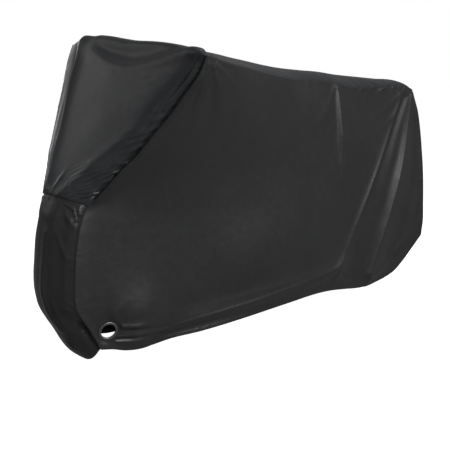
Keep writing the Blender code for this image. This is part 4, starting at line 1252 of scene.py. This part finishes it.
def maths(tree, operation, first, second=0.0):
    node = tree.nodes.new("ShaderNodeMath")
    node.operation = operation
    for socket, value in zip(node.inputs, (first, second)):
        if isinstance(value, bpy.types.NodeSocket):
            tree.links.new(value, socket)
        else:
            socket.default_value = value
    return node.outputs[0]


def ranged(tree, value, low, high, start=0.3, end=0.7):
    """A value between start and end, spread from low to high."""
    node = linked(tree, "ShaderNodeMapRange", Value=value)
    for name, number in (("From Min", start), ("From Max", end), ("To Min", low), ("To Max", high)):
        node.inputs[name].default_value = number
    return node.outputs["Result"]


def cloth_material(name, colour, roughness, weave):
    """Plain-weave polyester with a coating: a fine weave, a soft crinkle and slightly uneven gloss."""
    material, tree, shader = new_material(name)
    place = tree.nodes.new("ShaderNodeUVMap")
    place.uv_map = "cloth"
    parts = linked(tree, "ShaderNodeSeparateXYZ", Vector=place.outputs["UV"])
    turns = 2 * math.pi / weave
    warp = maths(tree, "SINE", maths(tree, "MULTIPLY", parts.outputs["X"], turns))
    weft = maths(tree, "SINE", maths(tree, "MULTIPLY", parts.outputs["Y"], turns))
    weave_height = maths(tree, "MULTIPLY", warp, weft)
    cloth = place.outputs["UV"]
    crinkle = linked(tree, "ShaderNodeTexNoise", Vector=cloth, Scale=38.0, Detail=5.0, Roughness=0.55)
    crinkle = crinkle.outputs["Fac"]
    patchy = linked(tree, "ShaderNodeTexNoise", Vector=cloth, Scale=6.0, Detail=3.0, Roughness=0.5)
    woven = linked(tree, "ShaderNodeBump", Strength=0.10, Distance=0.0002, Height=weave_height)
    woven = woven.outputs["Normal"]
    creased = linked(tree, "ShaderNodeBump", Strength=0.35, Distance=0.0012, Height=crinkle, Normal=woven)
    tree.links.new(creased.outputs["Normal"], shader.inputs["Normal"])
    tint = tree.nodes.new("ShaderNodeVectorMath")
    tint.operation = "SCALE"
    tint.inputs[0].default_value = colour
    tree.links.new(ranged(tree, patchy.outputs["Fac"], 0.90, 1.10), tint.inputs["Scale"])
    tree.links.new(tint.outputs["Vector"], shader.inputs["Base Color"])
    gloss = ranged(tree, crinkle, roughness - 0.05, roughness + 0.05)
    tree.links.new(gloss, shader.inputs["Roughness"])
    shader.inputs["IOR"].default_value = 1.40
    material.diffuse_color = (*colour, 1.0)
    return material


def ring_material(colour, roughness):
    """Dark plated metal, a little scuffed."""
    material, tree, shader = new_material("eyelet_metal")
    place = tree.nodes.new("ShaderNodeTexCoord")
    scuff = linked(tree, "ShaderNodeTexNoise", Vector=place.outputs["Object"], Scale=420.0, Detail=4.0)
    gloss = ranged(tree, scuff.outputs["Fac"], roughness - 0.08, roughness + 0.08, 0.0, 1.0)
    tree.links.new(gloss, shader.inputs["Roughness"])
    shader.inputs["Base Color"].default_value = (*colour, 1.0)
    shader.inputs["Metallic"].default_value = 1.0
    material.diffuse_color = (*colour, 1.0)
    return material


# ---------------------------------------------------------------------------------------------------------
# What a user would change


class CoverCloth(bpy.types.PropertyGroup):
    thickness: bpy.props.FloatProperty(
        name="Cloth", description="Thickness of one layer of the cloth", default=0.0010, min=0.0002,
        unit="LENGTH",
    )
    weave: bpy.props.FloatProperty(
        name="Weave", description="Length of one repeat of the weave", default=0.0012, min=0.0002,
        unit="LENGTH",
    )
    side_colour: bpy.props.FloatVectorProperty(
        name="Sides", description="Colour of the side panels and the gusset", default=(0.020, 0.0203, 0.021),
        subtype="COLOR", size=3, min=0, max=1,
    )
    # The hood's colour is the sides' cloth made lighter and bluer: a painted sky sheen on the same black
    # cloth, not another cloth.
    hood_colour_painted_sheen: bpy.props.FloatVectorProperty(
        name="Hood", description="Colour of the centre strip and its hood", default=(0.0228, 0.0240, 0.0268),
        subtype="COLOR", size=3, min=0, max=1,
    )
    ring_colour: bpy.props.FloatVectorProperty(
        name="Eyelets", description="Colour of the eyelets' metal", default=(0.20, 0.20, 0.205),
        subtype="COLOR", size=3, min=0, max=1,
    )
    roughness: bpy.props.FloatProperty(
        name="Roughness", description="How matt the coating is", default=0.37, min=0, max=1, subtype="FACTOR"
    )


class CoverStage(bpy.types.PropertyGroup):
    floor_colour: bpy.props.FloatVectorProperty(
        name="Floor", description="Colour of the floor", default=(0.90, 0.90, 0.90),
        subtype="COLOR", size=3, min=0, max=1,
    )
    surround: bpy.props.FloatProperty(
        name="Surroundings", description="How much light comes from all round", default=0.23, min=0,
    )
    camera_place: bpy.props.FloatVectorProperty(
        name="Camera", description="Where the camera stands, from the ground under the middle of the cover",
        default=(-1.995, -2.3731, 1.19795), subtype="TRANSLATION", size=3, unit="LENGTH",
    )
    camera_heading: bpy.props.FloatProperty(
        name="Heading", description="Turn of the view from straight across the left side towards the tail",
        default=0.6601, unit="ROTATION",
    )
    camera_down: bpy.props.FloatProperty(
        name="Tilt", description="How far the camera looks down", default=0.24866, unit="ROTATION"
    )
    lens: bpy.props.FloatProperty(
        name="Lens", description="Focal length on a 36 mm sensor", default=65.59, unit="CAMERA"
    )


# ---------------------------------------------------------------------------------------------------------
# Operators


def cloth_for(context, hood=False):
    """The cloth of the sides, or of the hood in a lighter, bluer copy with a painted sky sheen, made once."""
    name = "hood_polyester_painted_sheen" if hood else "side_polyester"
    if name not in bpy.data.materials:
        sizes = context.scene.cover_cloth
        # the hood's copy takes the lighter, bluer colour, which is painted sky sheen
        colour = sizes.hood_colour_painted_sheen if hood else sizes.side_colour
        cloth_material(name, tuple(colour), sizes.roughness, sizes.weave)
    return bpy.data.materials[name]


class COVER_OT_centre_panel(bpy.types.Operator):
    """The strip up the hood, along the top and down the tail"""

    bl_idname = "cover.centre_panel"
    bl_label = "Centre panel"

    def execute(self, context):
        obj = panel_object("centre_panel", cloth_for(context, True), context.scene.cover_cloth.thickness)
        obj.name = "hood_and_top_cloth"
        dress(obj, "centre_panel")
        return {"FINISHED"}


class COVER_OT_front_gusset(bpy.types.Operator):
    """The round panel in front, from the gathered seam to the hem"""

    bl_idname = "cover.front_gusset"
    bl_label = "Front gusset"

    def execute(self, context):
        obj = panel_object("front_gusset", cloth_for(context), context.scene.cover_cloth.thickness)
        obj.name = "front_wheel_cloth"
        dress(obj, "front_gusset")
        return {"FINISHED"}


class COVER_OT_side_panels(bpy.types.Operator):
    """The two large side panels with their folds and hems"""

    bl_idname = "cover.side_panels"
    bl_label = "Side panels"

    def execute(self, context):
        for side in (-1, 1):
            node = f"side_panel_{side_name(side)}"
            material = cloth_for(context)
            obj = panel_object(node, material, context.scene.cover_cloth.thickness, patch_block(side))
            obj.name = f"side_cloth_{side_name(side)}"
            dress(obj, node)
        return {"FINISHED"}


class COVER_OT_eyelets(bpy.types.Operator):
    """The cloth round each eyelet, and its ring"""

    bl_idname = "cover.eyelets"
    bl_label = "Eyelets"

    def execute(self, context):
        metal = ring_material(tuple(context.scene.cover_cloth.ring_colour), RING_ROUGHNESS)
        for side in (-1, 1):
            cloth = patch_object(side, cloth_for(context), context.scene.cover_cloth.thickness)
            dress(cloth, f"eyelet_patch_{side_name(side)}")
            ring = ring_object(side, metal)
            dress(ring, f"eyelet_ring_{side_name(side)}")
        return {"FINISHED"}


class COVER_OT_stitching(bpy.types.Operator):
    """The thread beside the seams and along the hems"""

    bl_idname = "cover.stitching"
    bl_label = "Stitching"

    def execute(self, context):
        for name in PANELS:
            obj = stitching_object(name, cloth_for(context))
            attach(obj, "root")
        return {"FINISHED"}


class COVER_OT_stage(bpy.types.Operator):
    """The pale floor, the soft lights and the camera"""

    bl_idname = "cover.stage"
    bl_label = "Stage"

    def execute(self, context):
        settings = context.scene.cover_stage
        make_floor(tuple(settings.floor_colour))
        make_lights(settings)
        make_camera(settings)
        return {"FINISHED"}


def to_camera_or_cloth(tree, camera_shader, cloth_shader, output):
    """One shader for what the camera sees and another for the light that reaches the cloth."""
    rays = tree.nodes.new("ShaderNodeLightPath")
    mix = tree.nodes.new("ShaderNodeMixShader")
    tree.links.new(rays.outputs["Is Camera Ray"], mix.inputs["Fac"])
    tree.links.new(cloth_shader.outputs[0], mix.inputs[1])
    tree.links.new(camera_shader.outputs[0], mix.inputs[2])
    tree.links.new(mix.outputs[0], tree.nodes[output].inputs["Surface"])


def make_floor(colour):
    """A wide round floor that fades into the background, bright to the camera and dark to the cloth."""
    mesh = bpy.data.meshes.new("floor")
    shape = bmesh.new()
    bmesh.ops.create_circle(shape, cap_ends=True, radius=FLOOR_RADIUS, segments=96)
    shape.to_mesh(mesh)
    shape.free()
    material, tree, shader = new_material("floor_paint")
    shader.inputs["Base Color"].default_value = (*colour, 1.0)
    shader.inputs["Roughness"].default_value = 0.9
    shader.inputs["Emission Color"].default_value = (*colour, 1.0)
    shader.inputs["Emission Strength"].default_value = FLOOR_GLOW
    rays = tree.nodes.new("ShaderNodeLightPath")
    sheen = linked(tree, "ShaderNodeEmission", Color=(1.0, 1.0, 1.0, 1.0))
    in_sheen = maths(tree, "MULTIPLY", rays.outputs["Is Glossy Ray"], FLOOR_SHEEN)
    tree.links.new(in_sheen, sheen.inputs["Strength"])
    to_camera_or_cloth(tree, shader, sheen, "Material Output")
    floor = finished_object("floor", mesh, material)
    floor.location = tuple(-HANG)


Lamp = namedtuple("Lamp", "name place aim wide high watts")
LAMPS = (
    Lamp("near_side", (0.4, -4.3, 1.7), (0.1, 0.0, 0.6), 3.0, 2.2, 170),
    Lamp("left_back", (-3.2, 2.4, 2.2), (-0.4, 0.0, 0.7), 1.6, 2.0, 10),
    Lamp("back", (-1.4, 3.9, 2.1), (-0.6, 0.2, 1.0), 0.5, 1.2, 6),
    Lamp("right_back", (1.4, 4.2, 0.9), (0.0, 0.0, 0.5), 2.6, 1.6, 32),
    Lamp("front_left", (-4.2, -1.2, 2.0), (-0.5, 0.0, 0.7), 1.2, 1.4, 4),
    Lamp("overhead", (0.2, -0.6, 3.9), (0.1, 0.0, 0.6), 2.6, 1.6, 38),
)


def make_lights(settings):
    for lamp in LAMPS:
        light = bpy.data.lights.new(lamp.name, "AREA")
        light.shape = "RECTANGLE"
        light.size, light.size_y, light.energy = lamp.wide, lamp.high, lamp.watts
        obj = bpy.data.objects.new(lamp.name, light)
        bpy.context.scene.collection.objects.link(obj)
        place, aim = Vector(lamp.place), Vector(lamp.aim)
        obj.location = place - Vector(HANG)
        obj.rotation_euler = (aim - place).to_track_quat("-Z", "Y").to_euler()
    world = bpy.data.worlds.new("studio")
    bpy.context.scene.world = world
    world.use_nodes = True
    tree = world.node_tree
    seen = tree.nodes["Background"]
    seen.inputs["Color"].default_value = (1.0, 1.0, 1.0, 1.0)
    seen.inputs["Strength"].default_value = 1.0
    soft = tree.nodes.new("ShaderNodeBackground")
    soft.inputs["Color"].default_value = (1.0, 1.0, 1.0, 1.0)
    soft.inputs["Strength"].default_value = settings.surround
    to_camera_or_cloth(tree, seen, soft, "World Output")
    bpy.context.scene.view_settings.view_transform = "Standard"


def make_camera(settings):
    down, turn = settings.camera_down, settings.camera_heading
    ahead = Vector((math.sin(turn) * math.cos(down), math.cos(turn) * math.cos(down), -math.sin(down)))
    camera = bpy.data.cameras.new("camera")
    camera.sensor_width = 36.0
    camera.lens = settings.lens
    obj = bpy.data.objects.new("camera", camera)
    bpy.context.scene.collection.objects.link(obj)
    obj.location = Vector(settings.camera_place) - Vector(HANG)
    obj.rotation_euler = ahead.to_track_quat("-Z", "Y").to_euler()
    bpy.context.scene.camera = obj


class COVER_PT_pieces(bpy.types.Panel):
    """The cover's sizes, colours and pieces"""

    bl_idname = "COVER_PT_pieces"
    bl_label = "Bicycle cover"
    bl_space_type = "VIEW_3D"
    bl_region_type = "UI"
    bl_category = "Cover"

    def draw(self, context):
        layout = self.layout
        for group in (context.scene.cover_cloth, context.scene.cover_stage):
            column = layout.column(align=True)
            for prop in group.__annotations__:
                column.prop(group, prop)
        column = layout.column(align=True)
        for operator in OPERATORS:
            column.operator(operator.bl_idname)


OPERATORS = (
    COVER_OT_centre_panel,
    COVER_OT_front_gusset,
    COVER_OT_side_panels,
    COVER_OT_eyelets,
    COVER_OT_stitching,
    COVER_OT_stage,
)
CLASSES = (CoverCloth, CoverStage, *OPERATORS, COVER_PT_pieces)


def register():
    for each in CLASSES:
        bpy.utils.register_class(each)
    bpy.types.Scene.cover_cloth = bpy.props.PointerProperty(type=CoverCloth)
    bpy.types.Scene.cover_stage = bpy.props.PointerProperty(type=CoverStage)


def unregister():
    del bpy.types.Scene.cover_stage
    del bpy.types.Scene.cover_cloth
    for each in reversed(CLASSES):
        bpy.utils.unregister_class(each)


def main():
    register()
    bpy.ops.cover.centre_panel()
    bpy.ops.cover.front_gusset()
    bpy.ops.cover.side_panels()
    bpy.ops.cover.eyelets()
    bpy.ops.cover.stitching()
    bpy.ops.cover.stage()


if __name__ == "__main__":
    main()
